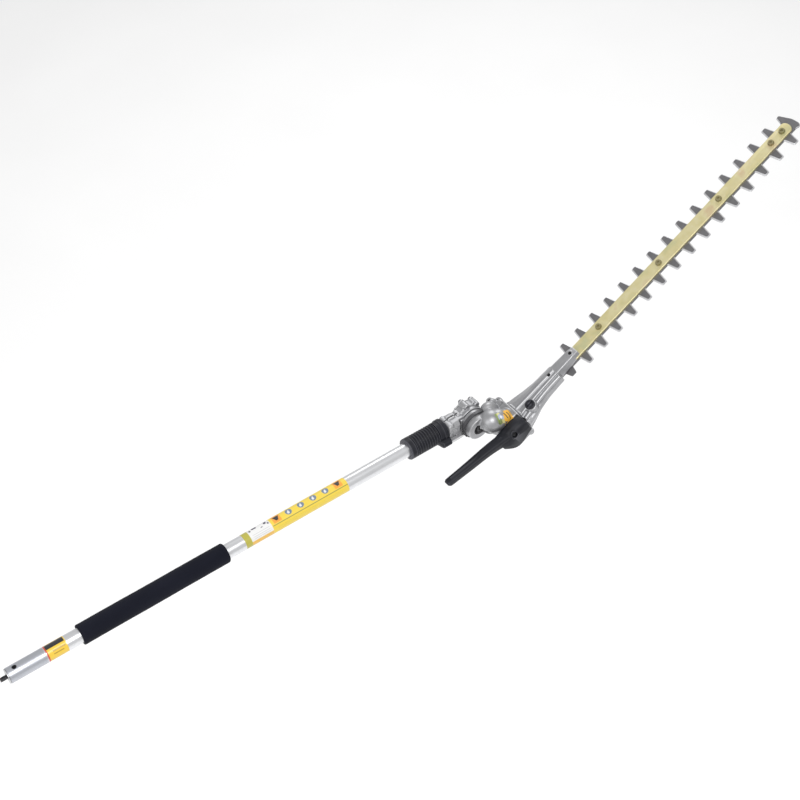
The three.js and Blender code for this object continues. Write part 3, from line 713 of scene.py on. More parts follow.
def shaft_tube():
    """A drawn tube: an outer and an inner round skin with softened rims, and the locating hole."""
    start, end, radius, bore, rim = 12, 806, 12, 10.5, 0.4
    stations = np.concatenate([[start + rim], np.linspace(start + 1, end - 1, 60), [end - rim]])
    outer = [(start, radius - rim), *((x, radius) for x in stations), (end, radius - rim)]
    inner = [(end, bore + rim), *((x, bore) for x in stations[::-1]), (start, bore + rim)]
    profile = [(start, bore + rim), *outer, *inner]
    piece = new_object("tube", mesh_of("tube", lathe("x", profile, around=96), SHAFT))
    tidy_mesh(piece.data)
    locating_hole = disc_rod("z", 3.6, 6, 20, (24, 0, 0), 40, 0.1)
    cut_away(piece, locating_hole, SHAFT)
    shade(piece.data)
    fit(piece, "shaft", FINISH["tube"], ["shaft_tube"])

    lip = [(10.5, 5), (10.5, 11.6), (11.7, 11.6), (11.7, 10.2), (20, 10.2), (20, 5), (10.5, 5)]
    make("end_ring", lathe("x", rounded(lip, 0.35), around=72), SHAFT, "shaft", "steel", ["end_bush"])


def drive_end():
    """The drive rod: its radius swells from round to square towards its end. The square is a circle
    of power 8, whose radius is 1 over the eighth root of |cos|^8 + |sin|^8."""
    def square(along, angle):
        share = np.clip((12 - along) / 3, 0, 1)
        reach = 1 / (np.abs(np.cos(angle)) ** 8 + np.abs(np.sin(angle)) ** 8) ** (1 / 8)
        return share * 2.4 * (reach - 1)

    tongue = [(0, 0), (0, 2.2), (0.6, 2.6), *((x, 2.6) for x in np.linspace(2, 10, 9))]
    profile = np.array([*tongue, (12, 3.5), (16, 3.5), (817.5, 3.5), (818, 3.0), (818, 0)])
    rod = lathe("x", profile, around=48, swell=square)
    make("drive_rod", rod, SHAFT, "drive", "black_steel", ["drive_shaft"])


def foam():
    """A foam sleeve: a soft-rimmed wall whose radius wanders by slow waves along and round it."""
    start, end, radius, inner = 125.0, 371.5, 16.1, 12.2
    rear_rim, front_rim = 1.6, 3.2
    t = np.linspace(0, math.pi / 2, 7)
    rear = np.column_stack([start + rear_rim * (1 - np.cos(t)), radius - rear_rim * (1 - np.sin(t))])
    middle = np.column_stack([np.linspace(start + 4, end - 5, 150), np.full(150, radius)])
    front = np.column_stack([end - front_rim * (1 - np.sin(t)), radius - front_rim * (1 - np.cos(t))])
    bore = np.column_stack([np.linspace(end, start, 60), np.full(60, inner)])
    outer = np.concatenate([rear, middle, front])
    profile = np.concatenate([[(start, inner)], outer, bore])

    def wander(along, angle):
        slow = np.sin(along * 0.045) * np.cos(angle + along * 0.011)
        small = np.sin(along * 0.31 + 2 * angle) * np.sin(3 * angle - along * 0.17)
        inside = np.clip((end - along) / 6, 0, 1) * np.clip((along - start) / 6, 0, 1)
        return -(0.10 + 0.10 * slow + 0.05 * small) * inside

    skin = lathe("x", profile, around=120, swell=wander)
    piece = make("foam_sleeve", skin, SHAFT, "shaft", "foam", ["foam_grip"], 60)


# ---------------------------------------------------------------- release sleeve

def sleeve():
    """A ribbed sleeve: the radius is the larger of the barrel with its ribs and the lobe that holds
    the latch. Ribs are rounded waves along the barrel that fade out towards its smooth underside."""
    start, end, radius, bore, chamber = 712.0, 786.0, 18.3, 12.5, 15.2
    rib_from, rib_to, ribs = 722.0, 770.0, 10
    lobe_out, lobe_angle, lobe_radius = 22.23, math.atan2(-9.5, -20.1), 6.6

    def ribbed(along, angle):
        turn = (along - rib_from) / (rib_to - rib_from) * ribs * TURN
        on = ((along > rib_from) & (along < rib_to)).astype(float)
        up = 0.5 + 0.5 * np.cos(angle - math.radians(100))
        shown = np.clip((up - 0.38) / 0.2, 0, 1)
        groove = on * shown * 1.9 * (0.5 + 0.5 * np.cos(turn)) ** 0.7
        off = (angle - lobe_angle + math.pi) % TURN - math.pi
        inside = lobe_radius ** 2 - (lobe_out * np.sin(off)) ** 2
        far_side = lobe_out * np.cos(off) + np.sqrt(np.clip(inside, 0, None))
        lobe = np.where((inside > 0) & (np.abs(off) < 1), far_side, 0)
        rise = np.clip((along - 764) / 7, 0, 1)
        rise = rise * rise * (3 - 2 * rise)
        flange = 1.2 * np.clip((along - 777.5) / 1.0, 0, 1)
        barrel = radius - groove + flange
        reach = barrel + np.clip(lobe - barrel, 0, None) * rise
        return reach - radius

    steps = np.concatenate([np.linspace(start + 1.2, rib_from, 8), np.linspace(rib_from, rib_to, 180)[1:]])
    steps = np.concatenate([steps, np.linspace(rib_to, end - 0.8, 26)[1:]])
    outer = np.column_stack([steps, np.full(len(steps), radius)])
    rear = [(start, bore), (start, radius - 1.4), (start + 0.3, radius - 0.5)]
    front = [(end - 0.3, radius - 0.25), (end, radius - 0.8)]
    inner = [(end, chamber), (start + 22, chamber), (start + 22, bore), (start, bore)]
    profile = np.array([*rear, *outer, *front, *inner])

    def on_outside(along, angle):
        rows = np.arange(len(profile))[:, None]
        return np.where((rows >= 1) & (rows < len(profile) - len(inner)), ribbed(along, angle), 0)

    skin = lathe("x", profile, around=240, swell=on_outside)
    make("ribbed_sleeve", skin, SHAFT, "sleeve", "plastic", ["release_sleeve"], 42)


# ---------------------------------------------------------------- fasteners

def hex_reach(angle, across):
    """Distance from the middle of a hexagon to its side in each direction."""
    return across / 2 / np.cos((angle + math.pi / 6) % (math.pi / 3) - math.pi / 6)


def hex_head(across, low, high, flange=0.0, socket=0.0):
    """A hexagon head: at each height the radius is the smaller of the hexagon and a chamfer cone.
    A flange below it and a round socket in its top are part of the same profile."""
    circle = across / 2 / math.cos(math.pi / 6)
    tall = high - low
    base = [(low, 0)]
    if flange:
        base += [(low, across / 2 + flange), (low + tall * 0.16, across / 2 + flange)]
    z = [low + tall * 0.2, high - tall * 0.28, high - tall * 0.14, high]
    radii = [circle, circle, circle * 0.97, circle * 0.86]
    side = list(zip(z, radii)) if flange else [(low, circle), *zip(z, radii)]
    top = [(high, circle * 0.7), (high + 0.01, circle * 0.35), (high, 0)]
    if socket:
        floor = high - tall * 0.55
        top = [(high, socket + 0.3), (high - 0.3, socket), (floor, socket * 0.96), (floor, 0)]
    profile = np.array([*base, *side, *top])
    first, last = len(base), len(base) + len(side)

    def six_sided(along, angle):
        rows = np.arange(len(profile))[:, None]
        cone = np.repeat(profile[:, 1][:, None], angle.shape[1], 1)
        flat = np.minimum(hex_reach(angle, across), cone)
        return np.where((rows >= first) & (rows < last), flat - cone, 0)

    return profile, six_sided


def hex_bolt(axis, across, low, high, centre, **extras):
    """A hexagon head or nut about an axis; low is its seat and high its face."""
    profile, shape = hex_head(across, low, high, **extras)
    return lathe(axis, profile, centre, 72, shape)


def socket_screw(axis, radius, low, high, centre):
    """A round-edged screw head with a six-sided socket; low is its seat and high its face."""
    socket = radius * 0.5
    deep = high - (high - low) * 0.6
    outer = rounded([(low, 0), (low, radius), (high, radius), (high, socket * 1.25)], radius * 0.22)
    inner = [(high, socket * 1.12), (high + (low - high) * 0.06, socket), (deep, socket), (deep, 0)]
    profile = np.array([*outer, *inner])
    rows = np.arange(len(profile))[:, None]

    def six_sided(along, angle):
        inside = (rows >= len(outer) + 1) & (rows < len(profile) - 1)
        return np.where(inside, hex_reach(angle, 2 * socket * 0.92) - socket, 0)

    return lathe(axis, profile, centre, 48, six_sided)


# ---------------------------------------------------------------- knuckle

KNUCKLE_X = 836.0
LUG_ANGLES = [98, 48, 190, -20, -80]
LUG, BARREL, FLANGE = 5.6, 24.2, 26.0
NECK_FROM, NECK_TO = 786.6, 797


def on_lug(degrees, circle=25.0):
    """The middle of a lug: a point on a circle round the pivot, its angle counted from +x to +z."""
    angle = math.radians(degrees)
    return KNUCKLE_X + circle * math.cos(angle), 0.0, circle * math.sin(angle)


def knuckle():
    """The fixed half of the joint: a barrel with screw lugs, a clamped neck and raised details."""
    at = (KNUCKLE_X, 0, 0)
    lugs = [disc_rod("y", LUG, -6, 8, on_lug(d), 48, 1.2) for d in LUG_ANGLES]
    webs = [
        slab((-2.2, 2.2), (-4, 8), (0, 25), 0.8).turned("Y", 90 - d).moved(*at) for d in (73, 122, 20, -50)
    ]
    t = np.linspace(0, math.pi, 15)
    arch = np.column_stack([796 + 5.0 * np.cos(t), np.full(15, -18.3), 2 + 6.4 * np.sin(t)])
    arch_rings = [tube_ring(p, 0.95, q) for p, q in zip(arch, np.gradient(arch, axis=0))]
    wall = [(NECK_FROM, 12.6), (NECK_FROM, 16.2), (NECK_TO, 16.2), (NECK_TO, 12.6), (NECK_FROM, 12.6)]
    collar = lathe("x", rounded(wall, 0.7))
    throat = slab((NECK_FROM, NECK_TO), (-18.2, 12.7), (-15.6, 17.7), 3.5)
    slit_ears = both(
        slab((794.5, 808), (-4.8, -1.1), (11, 19.8), 0.7), slab((794.5, 808), (1.1, 4.8), (11, 19.8), 0.7),
    )
    step = both(
        slab((799, 818), (-19.6, -14), (-13.5, -4.5), 1.2), slab((813, 822), (-15, -12.2), (-15, 14), 1.5),
        slab((812, 826), (-6, 8), (14, 20.0), 2.0),
    )
    extra = both(
        disc_rod("y", BARREL, -12, 8, at, 96, 1.2), disc_rod("y", FLANGE, -5, 8, at, 96, 1.5),
        *lugs, *webs, lofted(arch_rings), collar, throat, slit_ears, step,
    )
    cuts = [
        disc_rod("y", 17.5, -9, 14, at, 96, 0.1), disc_rod("x", 12.2, 784, 806.3, (0, 0, 0), 72, 0.1),
        slab((784, 816), (-1.9, 0.8), (13.5, 21), 0.05), disc_rod("y", 31, 8.1, 30, at, 96, 0.1),
    ]
    cast("knuckle_casting", "knuckle_housing", extra, SHAFT, "shaft", "shaft_casting", 0.62, 5, cuts)

    spoke = slab((-1.3, 1.3), (10, 15), (6, 21), 0.6)
    cover = both(
        disc_rod("y", BARREL, 8.4, 12, at, 96, 1.4), disc_rod("y", FLANGE, 8.4, 10, at, 96, 0.5),
        ball((KNUCKLE_X, 12, 0), (17, 4.5, 17)), disc_rod("y", 11.0, 10, 17.5, at, 72, 2.0),
        disc_rod("y", 7.4, 15, 20.9, at, 72, 1.2),
        *(disc_rod("y", LUG, 8.4, 12.2, on_lug(d), 48, 1.0) for d in LUG_ANGLES),
        *(spoke.turned("Y", 90 - d).moved(*at) for d in range(15, 375, 60)),
    )
    hollow = [disc_rod("y", 3.6, 17.5, 25, at, 48, 0.1), disc_rod("y", 11.5, 5, 13.2, at, 72, 0.1)]
    lid = cast("knuckle_lid", None, cover, SHAFT, "shaft", "shaft_casting", 0.55, 4, hollow)
    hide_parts("knuckle_cover")
    make("lid_plug", disc_rod("y", 3.5, 16.5, 19.2, at, 48, 0.5), SHAFT, "shaft", "plastic")
    for number, degrees in enumerate(LUG_ANGLES, 1):
        screw = socket_screw("y", 3.6, 11.6, 14.6, on_lug(degrees))
        make(f"lid_screw_{number}", screw, SHAFT, "shaft", "black_steel", [f"knuckle_screw_{number}"])


def tube_ring(point, radius, along, around=16):
    """A circle of the radius round a point, square to a direction that is never along y."""
    along = np.asarray(along, float) / np.linalg.norm(along)
    side = np.array([0.0, 1.0, 0.0])
    other = np.cross(along, side)
    angle = (np.arange(around) / around * TURN)[:, None]
    return np.asarray(point) + radius * (np.cos(angle) * side + np.sin(angle) * other)


# ---------------------------------------------------------------- head housing

def ball(centre, radii, rows=40, around=72):
    """An ellipsoid: a half circle of latitude carried round z and stretched to three radii."""
    t = np.linspace(0, math.pi, rows)
    skin = lathe("z", np.column_stack([-np.cos(t), np.sin(t)]), around=around)
    return Skin(skin.points * radii + centre, *skin.faces)


FAR_BOSSES = [(44, -4.5, 0), (54.5, -11, 0)]


def head_housing():
    """The moving half of the joint and the crank housing: drum, bevel dome and shouldered box."""
    drum = both(
        disc_rod("y", 22.2, -36, -12.3, (0, 0, 0), 96, 1.4),
        disc_rod("y", 16.5, -34.5, -18, (0, 0, 0), 72, 0.4),
    )
    fairing = both(
        ball((20, -41.5, -0.5), (20.6, 20.2, 20.2)), ball((9, -30, -1), (17, 14, 19.5)),
        ball((34, -44, -22), (27, 20.5, 17)), ball((31, -21, -8), (16, 14, 20)),
        ball((30, -46.5, -8), (23, 15.5, 14)), ball((27, -45, -4), (21, 17.5, 17)),
        slab((22, 59.7), (-61, -12), (-50, -14), 4), ball((44, -9, -18), (9, 8, 10)),
    )
    seam = slab((56.2, 59.7), (-77, -7.2), (-52.8, -45.5), 0.8)
    seam_top = slab((55.8, 59.7), (-60.4, -22.5), (-40, -12.2), 1.2)
    bosses = both(
        *(disc_rod("z", 6.4, -50, top, boss, 48, 1.6) for boss, top in zip(FAR_BOSSES, (-12, -21))),
        disc_rod("z", 4.4, -46, -26, (32, -13.5, 0), 48, 0.9),
        *(disc_rod("z", 5.0, -52, -42.5, (27, y, 0), 48, 0.8) for y in (-70, -14)),
    )
    ribs = both(
        slab((20, 58), (-19, -16.6), (-47, -30), 0.8), slab((40.5, 47.5), (-24, -5), (-46, -16), 1.5),
        slab((51, 57), (-24, -10), (-46, -24), 1.5),
    )
    extra = both(drum, seam, seam_top, bosses, ribs)
    across = (0, HEAD_Y, 0)
    cuts = [
        disc_rod("y", 12.5, -40, -30.5, (0, 0, 0), 72, 0.1),
        disc_rod("y", 27.2, -12.2, 9, (0, 0, 0), 72, 0.1),
        disc_rod("y", 30.8, -6.3, 14, (0, 0, 0), 72, 0.1),
        *(disc_rod("z", 2.4, low, low + tall, boss, 32, 0.1)
          for boss, low, tall in zip(FAR_BOSSES, (-18, -27), (10, 9))),
        lathe("y", [(-25.3, 21.6), (-25.3, 26.5), (-19.7, 26.5), (-19.7, 21.6), (-25.3, 21.6)], around=96),
        disc_rod("y", 17, -30, -17.3, (0, 0, 0), 72, 0.1), disc_rod("y", 8, -18.3, 0, (0, 0, 0), 48, 0.1),
        disc_rod("y", 6.4, -70, -29, (0, 0, 0), 48, 0.1), disc_rod("x", 15.5, 7.6, 30, across, 72, 0.1),
        slab((7.6, 14), (HEAD_Y, -28), (-15, 15), 0.1),
        disc_rod("z", 17, -60, -13.6, (39, HEAD_Y, 0), 72, 0.1),
        slab((19, 61), (HEAD_Y - 24.5, HEAD_Y + 24.5), (-60, -45), 0.1),
    ]
    cast("head_casting", "head_housing", extra, HEAD, "head", "head_casting", 0.68, 6, cuts, core=fairing)

    rim = [(-29.6, 0), (-29.6, 11.6), (-31, 11.6), (-31.6, 10.8), (-31.6, 7.6)]
    rim += [(-35, 7.0), (-35.6, 6.2), (-35.6, 3.4)]
    well = [(-35.2, 3.0), (-32, 3.0), (-32, 0)]
    profile = np.array([*rounded(rim, 0.4), *well])
    rows = np.arange(len(profile))[:, None]

    def six_sided(along, angle):
        inside = (rows >= len(profile) - 3) & (rows < len(profile) - 1)
        return np.where(inside, hex_reach(angle, 5.4) - 3.0, 0)

    bolt = lathe("y", profile, (0, 0, 0), 72, six_sided)
    make("pivot_screw", bolt, HEAD, "head", "black_steel", ["pivot_bolt"])


CASE_KNOTS = [60, 74, 94, 116, 154]
CASE_HALF_WIDTH = [29, 26.5, 22, 18.5, 17]
CASE_SCREWS = [(141, -34.0), (191, -34.6)]
PLUG_AT = (84, HEAD_Y - 13.5, 0)


def gear_case():
    """The long casting over the connecting forks: a rounded crest between sloping flanks, with a
    rib down each shoulder, lands round its screws and a stepped skirt."""
    x = np.linspace(62, 152, 60)
    foot = through(x, CASE_KNOTS, CASE_HALF_WIDTH)
    crest = through(x, CASE_KNOTS, [15, 12.5, 10.5, 9.5, 8.5])

    def bead(y, z, radius):
        """A round bead along x: a circle of the radius round each given place."""
        angle = (np.arange(20) / 20 * TURN)[None, :]
        y, z, radius = (np.broadcast_to(v, x.shape)[:, None] for v in (y, z, radius))
        across, up = y + radius * np.cos(angle), z + radius * np.sin(angle)
        return lofted(np.stack([np.repeat(x[:, None], 20, 1), across, up], -1))

    top = through(x, CASE_KNOTS, [-31, -31.5, -32, -32, -32.5])
    beads = both(
        bead(HEAD_Y - crest + 1.0, top - 0.9, 1.9), bead(HEAD_Y + crest - 1.0, top - 1.3, 1.5),
        bead(HEAD_Y - foot + 1.6, -44.4, 1.9), bead(HEAD_Y + foot - 1.6, -44.6, 1.7),
        bead(HEAD_Y - crest * 0.45 - foot * 0.55, top - 5.2, 3.4), bead(np.full(60, HEAD_Y), top - 0.4, 2.6),
    )
    nose_x = np.linspace(150, 200, 30)
    half = np.interp(nose_x, [150, 190, 200], [8.5, 7.4, 6.7])
    high = np.interp(nose_x, [150, 190, 200], [-33.4, -34.4, -36.4])
    across, up = oval(half, np.full(30, 3.2), np.full(30, 2.6), 40)
    along = np.repeat(nose_x[:, None], 40, 1)
    nose = lofted(np.stack([along, HEAD_Y + across, high[:, None] - 2.2 + up], -1))
    lands = both(
        disc_rod("z", 5.0, -42, -32.2, (141, HEAD_Y, 0), 48, 0.8),
        disc_rod("z", 5.4, -44, -33.2, (191, HEAD_Y, 0), 48, 0.9),
        disc_rod("z", 10.4, -46, -31.7, PLUG_AT, 72, 1.2),
        slab((60.4, 64.5), (-71, -13), (-52.8, -42), 1.0),
        slab((60.4, 64.2), (-57.5, -26.5), (-44, -29.6), 1.4),
        slab((66, 70), (-69.5, -65), (-52.8, -41.5), 1.0),
        slab((148, 153.8), (-58.6, -25.4), (-52.8, -43), 1.0),
    )
    inside = np.linspace(58, 152, 30)
    room = through(inside, CASE_KNOTS, CASE_HALF_WIDTH) - 3.4
    corners = [(-room, -54), (room, -54), (room, -44.9), (-room, -44.9)]
    rails = [np.column_stack([inside, HEAD_Y + y, np.full(30, z)]) for y, z in corners]
    fork_room = lofted(np.stack(rails, 1))
    cuts = [
        fork_room, disc_rod("z", 6.4, -36, -28, PLUG_AT, 64, 0.1),
        *(disc_rod("z", 3.2, -40, -28, (px, HEAD_Y, 0), 40, 0.1) for px, face in CASE_SCREWS),
    ]
    extra = both(beads, nose, lands)
    cast("fork_case", "gear_case", extra, HEAD, "head", "head_casting", 0.72, 5, cuts)

    for number, (px, face) in enumerate(CASE_SCREWS, 1):
        screw = socket_screw("z", 2.7, -39, face, (px, HEAD_Y, 0))
        make(f"fork_case_screw_{number}", screw, HEAD, "head", "black_steel", [f"case_screw_{number}"])


def grease_plug():
    """A filler plug: a notched rim round a dished face with a coin slot across it."""
    def notches(along, angle):
        rim = ((along > -30.6) & (along < -28.4)).astype(float)
        return rim * -0.35 * np.clip(np.cos(angle * 18) * 2.2, 0, 1)

    profile = rounded([
        (-35.5, 0), (-35.5, 6), (-31.2, 6), (-31.2, 8.3),
        (-28.2, 8.3), (-27.6, 7.2), (-28.4, 6.2), (-28.4, 0),
    ], 0.35)
    piece = new_object("oil_plug", mesh_of("oil_plug", lathe("z", profile, PLUG_AT, 144, notches), HEAD))
    tidy_mesh(piece.data)
    cut_away(piece, slab((76, 92), (HEAD_Y - 14.5, HEAD_Y - 12.5), (-30.2, -26), 0.3), HEAD)
    shade(piece.data)
    fit(piece, "head", FINISH["plastic"], ["grease_plug"])


COVER_SCREWS = [(26, -22), (26, 22), (54, -30), (54, 30)]


def covers():
    """Cast lids under the crank and the forks; the crank's has screw lands and three ribs."""
    lands = both(*(disc_rod("z", 5.6, -66.2, -58, (x, HEAD_Y + y, 0), 48, 0.7) for x, y in COVER_SCREWS))
    rows = (HEAD_Y - 12, HEAD_Y, HEAD_Y + 12)
    ribs = both(*(slab((30, 50), (row - 1.2, row + 1.2), (-66.9, -60), 0.5) for row in rows))
    cast("crank_lid", "lower_cover", both(lands, ribs), HEAD, "head", "head_casting", 0.75, 5)
    for number, (x, y) in enumerate(COVER_SCREWS, 1):
        screw = socket_screw("z", 3.6, -66.2, -69, (x, HEAD_Y + y, 0))
        make(f"crank_lid_screw_{number}", screw, HEAD, "head", "steel", [f"cover_screw_{number}"])
    cast("fork_lid", "case_bottom_cover", None, HEAD, "head", "head_casting", 0.75, 5)


# ---------------------------------------------------------------- handle lever

HUB_Y = -73.3
RECESS, RECESS_TILT = (30.0, -83.9, -13.6), -42


def handle():
    """A moulded lever: a boxy hub, a tapering arm of round-cornered sections and a rib along it are
    melted together. A screw recess is cut in the hub's sloping shoulder."""
    s = np.linspace(0, 1, 40)
    x = 2 + 56 * s
    hub_knots = [0, 0.2, 0.85, 1]
    hub_wide = through(s, hub_knots, [10, 12.8, 12.9, 11.4])
    hub_high = through(s, hub_knots, [10.4, 16.8, 17.0, 14.9])
    middle = through(s, hub_knots, [-15, -24, -26, -27.5])
    across, up = oval(hub_wide, hub_high, np.full(40, 5.5), 64)
    near_top = np.clip(-across / 13, 0, 1) * np.clip(up / 18, 0, 1)
    across, up = across + near_top * 3.4, up - near_top * 3.4
    hub = lofted(np.stack([np.repeat(x[:, None], 64, 1), HUB_Y + across, middle[:, None] + up], -1))

    end = np.clip((s - 0.965) / 0.035, 0, 1)
    taper = np.sqrt(np.clip(1 - 0.6 * end ** 2, 0, 1))
    arm_x = 22 - 125 * s
    arm_knots = [0, 0.3, 0.65, 1]
    wide = through(s, arm_knots, [9.8, 8.4, 7.2, 6.2]) * taper
    tall = through(s, arm_knots, [11, 7.8, 6.6, 6.0]) * taper
    high = through(s, arm_knots, [-19.5, -4.5, 6, 16.2])
    side = through(s, [0, 0.65, 1], [HUB_Y, -72.5, -71.4])
    across, up = oval(wide, tall, np.full(40, 4.2), 48)
    arm = lofted(np.stack([np.repeat(arm_x[:, None], 48, 1), side[:, None] + across, high[:, None] + up], -1))

    share = np.linspace(0, 1, 30)
    rib_x = np.repeat(np.linspace(12, -92, 30)[:, None], 16, 1)
    rib_y = np.interp(share, [0, 0.6, 1], [HUB_Y, -72.6, -71.6])[:, None]
    rib_z = through(share, [0, 0.35, 0.7, 1], [-5.6, 4.4, 13.2, 20.4])[:, None]
    angle = np.arange(16) / 16 * TURN
    rib = lofted(np.stack([rib_x, rib_y + 1.5 * np.cos(angle)[None], rib_z + 1.2 * np.sin(angle)[None]], -1))

    def in_recess(skin):
        return skin.turned("X", RECESS_TILT).moved(*RECESS)

    collar = in_recess(disc_rod("y", 7.6, -0.7, 12, (0, 0, 0), 48, 1.4))
    outer_face = slab((0, 62), (-100, -86.15), (-60, 20), 0.1)
    over_the_fork = slab((-20, 62), (-68, -56), (-60, -40.5), 0.1)
    cuts = [in_recess(disc_rod("y", 5.0, -20, 10, (0, 0, 0), 48, 0.1)), outer_face, over_the_fork]
    lever = cast("side_handle", None, both(hub, arm, collar, rib), HEAD, "head", "plastic", 0.62, 6, cuts)
    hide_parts("handle_lever")
    screw = in_recess(socket_screw("y", 4.2, 10.5, 7.5, (0, 0, 0)))
    make("handle_screw", screw, HEAD, "head", "black_steel", ["handle_bolt"])


# ---------------------------------------------------------------- cutters

NEAR_TOOTH, FAR_TOOTH, PITCH, TEETH = 206.0, 195.0, 35.0, 15
BLADE_HALF, REACH, REAR_REACH = 12.0, 32.0, 25
BOLTS = [256, 400.5, 545, 671, 697.5]
SLOT_REACH, SLOT_HALF = 11.6, 3.5


def oblong(start, end, half, steps=8):
    """A slot's outline: a half circle at each end."""
    angle = np.linspace(-math.pi / 2, math.pi / 2, steps)
    front = np.column_stack([end - half + half * np.cos(angle), HEAD_Y + half * np.sin(angle)])
    rear = np.column_stack([start + half - half * np.cos(angle), HEAD_Y - half * np.sin(angle)])
    return np.concatenate([front, rear])


def blade_outline(rear_tooth, flank, tip):
    """The outline of a blade, its teeth narrowed by flank on each side and shortened by tip. It runs
    forward along the near side, round the crown and back along the far side."""
    def tooth(x, side):
        """Twelve points from root to root: a fillet, a straight flank and a rounded tip, mirrored."""
        base, top = 8.5 - flank, 5.2 - flank
        reach = (REACH if x > NEAR_TOOTH - PITCH else REAR_REACH) - tip
        y = np.array([BLADE_HALF, 12.6, 14, reach - 2, reach - 0.4, reach])
        w = np.array([-base - 1.4, -base - 0.2, -base + 0.3, -top - 0.3, -top + 0.4, -top + 1.3])
        y, w = np.concatenate([y, y[::-1]]), np.concatenate([w, -w[::-1]])
        return np.column_stack([x + w, HEAD_Y + side * y])

    near = [tooth(NEAR_TOOTH + k * PITCH, -1) for k in range(-1 if rear_tooth else 0, TEETH)]
    far = [tooth(FAR_TOOTH + k * PITCH, 1)[::-1] for k in range(TEETH - 1, -1, -1)]
    f, t = flank * 0.7, tip * 0.7
    crown = np.array([
        (715, -12), (717.5 + f, -13.4 + t), (721, -14.6 + t), (725.2 - f, -14 + t), (727.4 - f, -9),
        (727.4 - f, -2), (726.8 - f, 6), (723 - f, 17), (719.6 - f, 27.4 - t), (718.4 - f, 28.4 - t),
        (713.4 + f, 28.2 - t), (712.2 + f, 27.2 - t), (709.6 + f, 18), (707.4, 12),
    ]) + (0, HEAD_Y)
    rear = np.array([(140, BLADE_HALF), (118.3, 9), (118.3, -9), (140, -BLADE_HALF)]) + (0, HEAD_Y)
    return np.concatenate([*near, crown, *far, rear])


def blade(name, node, rear_tooth, cutting, back, body):
    """A blade plate whose flanks are ground back from its cutting face to its outer face. The faces
    that lean between flat and upright take the ground finish."""
    sharp = blade_outline(rear_tooth, 0, 0)
    edge = blade_outline(rear_tooth, 0.12, 0.05)
    ground = blade_outline(rear_tooth, 2.1, 1.1)
    toward = 1 if back > cutting else -1
    levels = [(cutting, sharp), (cutting + 0.35 * toward, edge)]
    levels += [(back - 0.12 * toward, ground), (back, ground)]
    if toward < 0:
        levels = levels[::-1]
    spans = [(BOLTS[0], BOLTS[0]), (BOLTS[1], BOLTS[1]), (BOLTS[2], BOLTS[2]), (BOLTS[3], BOLTS[4])]
    slots = [oblong(first - SLOT_REACH, last + SLOT_REACH, SLOT_HALF) for first, last in spans]
    piece = make(name, slotted_plate(sharp, slots, levels), HEAD, body, "blade", [node], 12)
    piece.data.materials.append(FINISH["ground"])
    normals = np.zeros(len(piece.data.polygons) * 3)
    piece.data.polygons.foreach_get("normal", normals)
    upright = np.abs(normals.reshape(-1, 3) @ np.array(HEAD.to_3x3().normalized())[:, 2])
    leaning = (upright > 0.25) & (upright < 0.97)
    piece.data.polygons.foreach_set("material_index", leaning.astype(np.int32))


def guide_bar():
    """The bar over the blades: a flat strip with a rounded nose and a slot at each bolt. Its upper
    edge is eased over on a quarter circle. The bolts and their nuts go with it."""
    half, start, end, nose_long, ease = 10.75, 160, 714, 7.5, 0.8
    angle = np.linspace(-math.pi / 2, math.pi / 2, 17)

    def outline(less):
        """The strip's outline, drawn in by less: a straight rear end and an oval nose."""
        nose_x = end - nose_long + (nose_long - less) * np.cos(angle)
        nose = np.column_stack([nose_x, HEAD_Y + (half - less) * np.sin(angle)])
        rear = [(start + less, HEAD_Y + half - less), (start + less, HEAD_Y - half + less)]
        side = np.linspace(start + 4, end - 9, 40)
        near = np.column_stack([side, np.full(40, HEAD_Y - half + less)])
        far = np.column_stack([side[::-1], np.full(40, HEAD_Y + half - less)])
        return np.concatenate([rear, near, nose, far])

    levels = [(-46.7, outline(0.25)), (-46.45, outline(0)), (-44.0, outline(0))]
    for t in np.linspace(0.3, math.pi / 2, 5):
        levels.append((-43.2 - ease * (1 - math.sin(t)), outline(ease * (1 - math.cos(t)))))
    slots = [oblong(b - 3.4, b + 3.4, 3.3) for b in BOLTS]
    make("guard_bar", slotted_plate(outline(0), slots, levels), HEAD, "head", "zinc", ["guide_bar"], 30)
    for number, x in enumerate(BOLTS, 1):
        at = (x, HEAD_Y, 0)
        head = hex_bolt("z", 9.0, -43.1, -39.2, at, flange=1.1, socket=2.0)
        shank = disc_rod("z", 3.0, -57, -42.8, at, 32, 0.4)
        make(f"bar_bolt_{number}", both(head, shank), HEAD, "head", "bolt", [f"blade_bolt_{number}"])
        nut = hex_bolt("z", 9.6, -53.45, -57.8, at, flange=0.9, socket=2.9)
        make(f"bar_nut_{number}", nut, HEAD, "head", "steel", [f"blade_nut_{number}"])


# ---------------------------------------------------------------- labels

FILM_UNDER, FILM_OVER = 12.03, 12.12


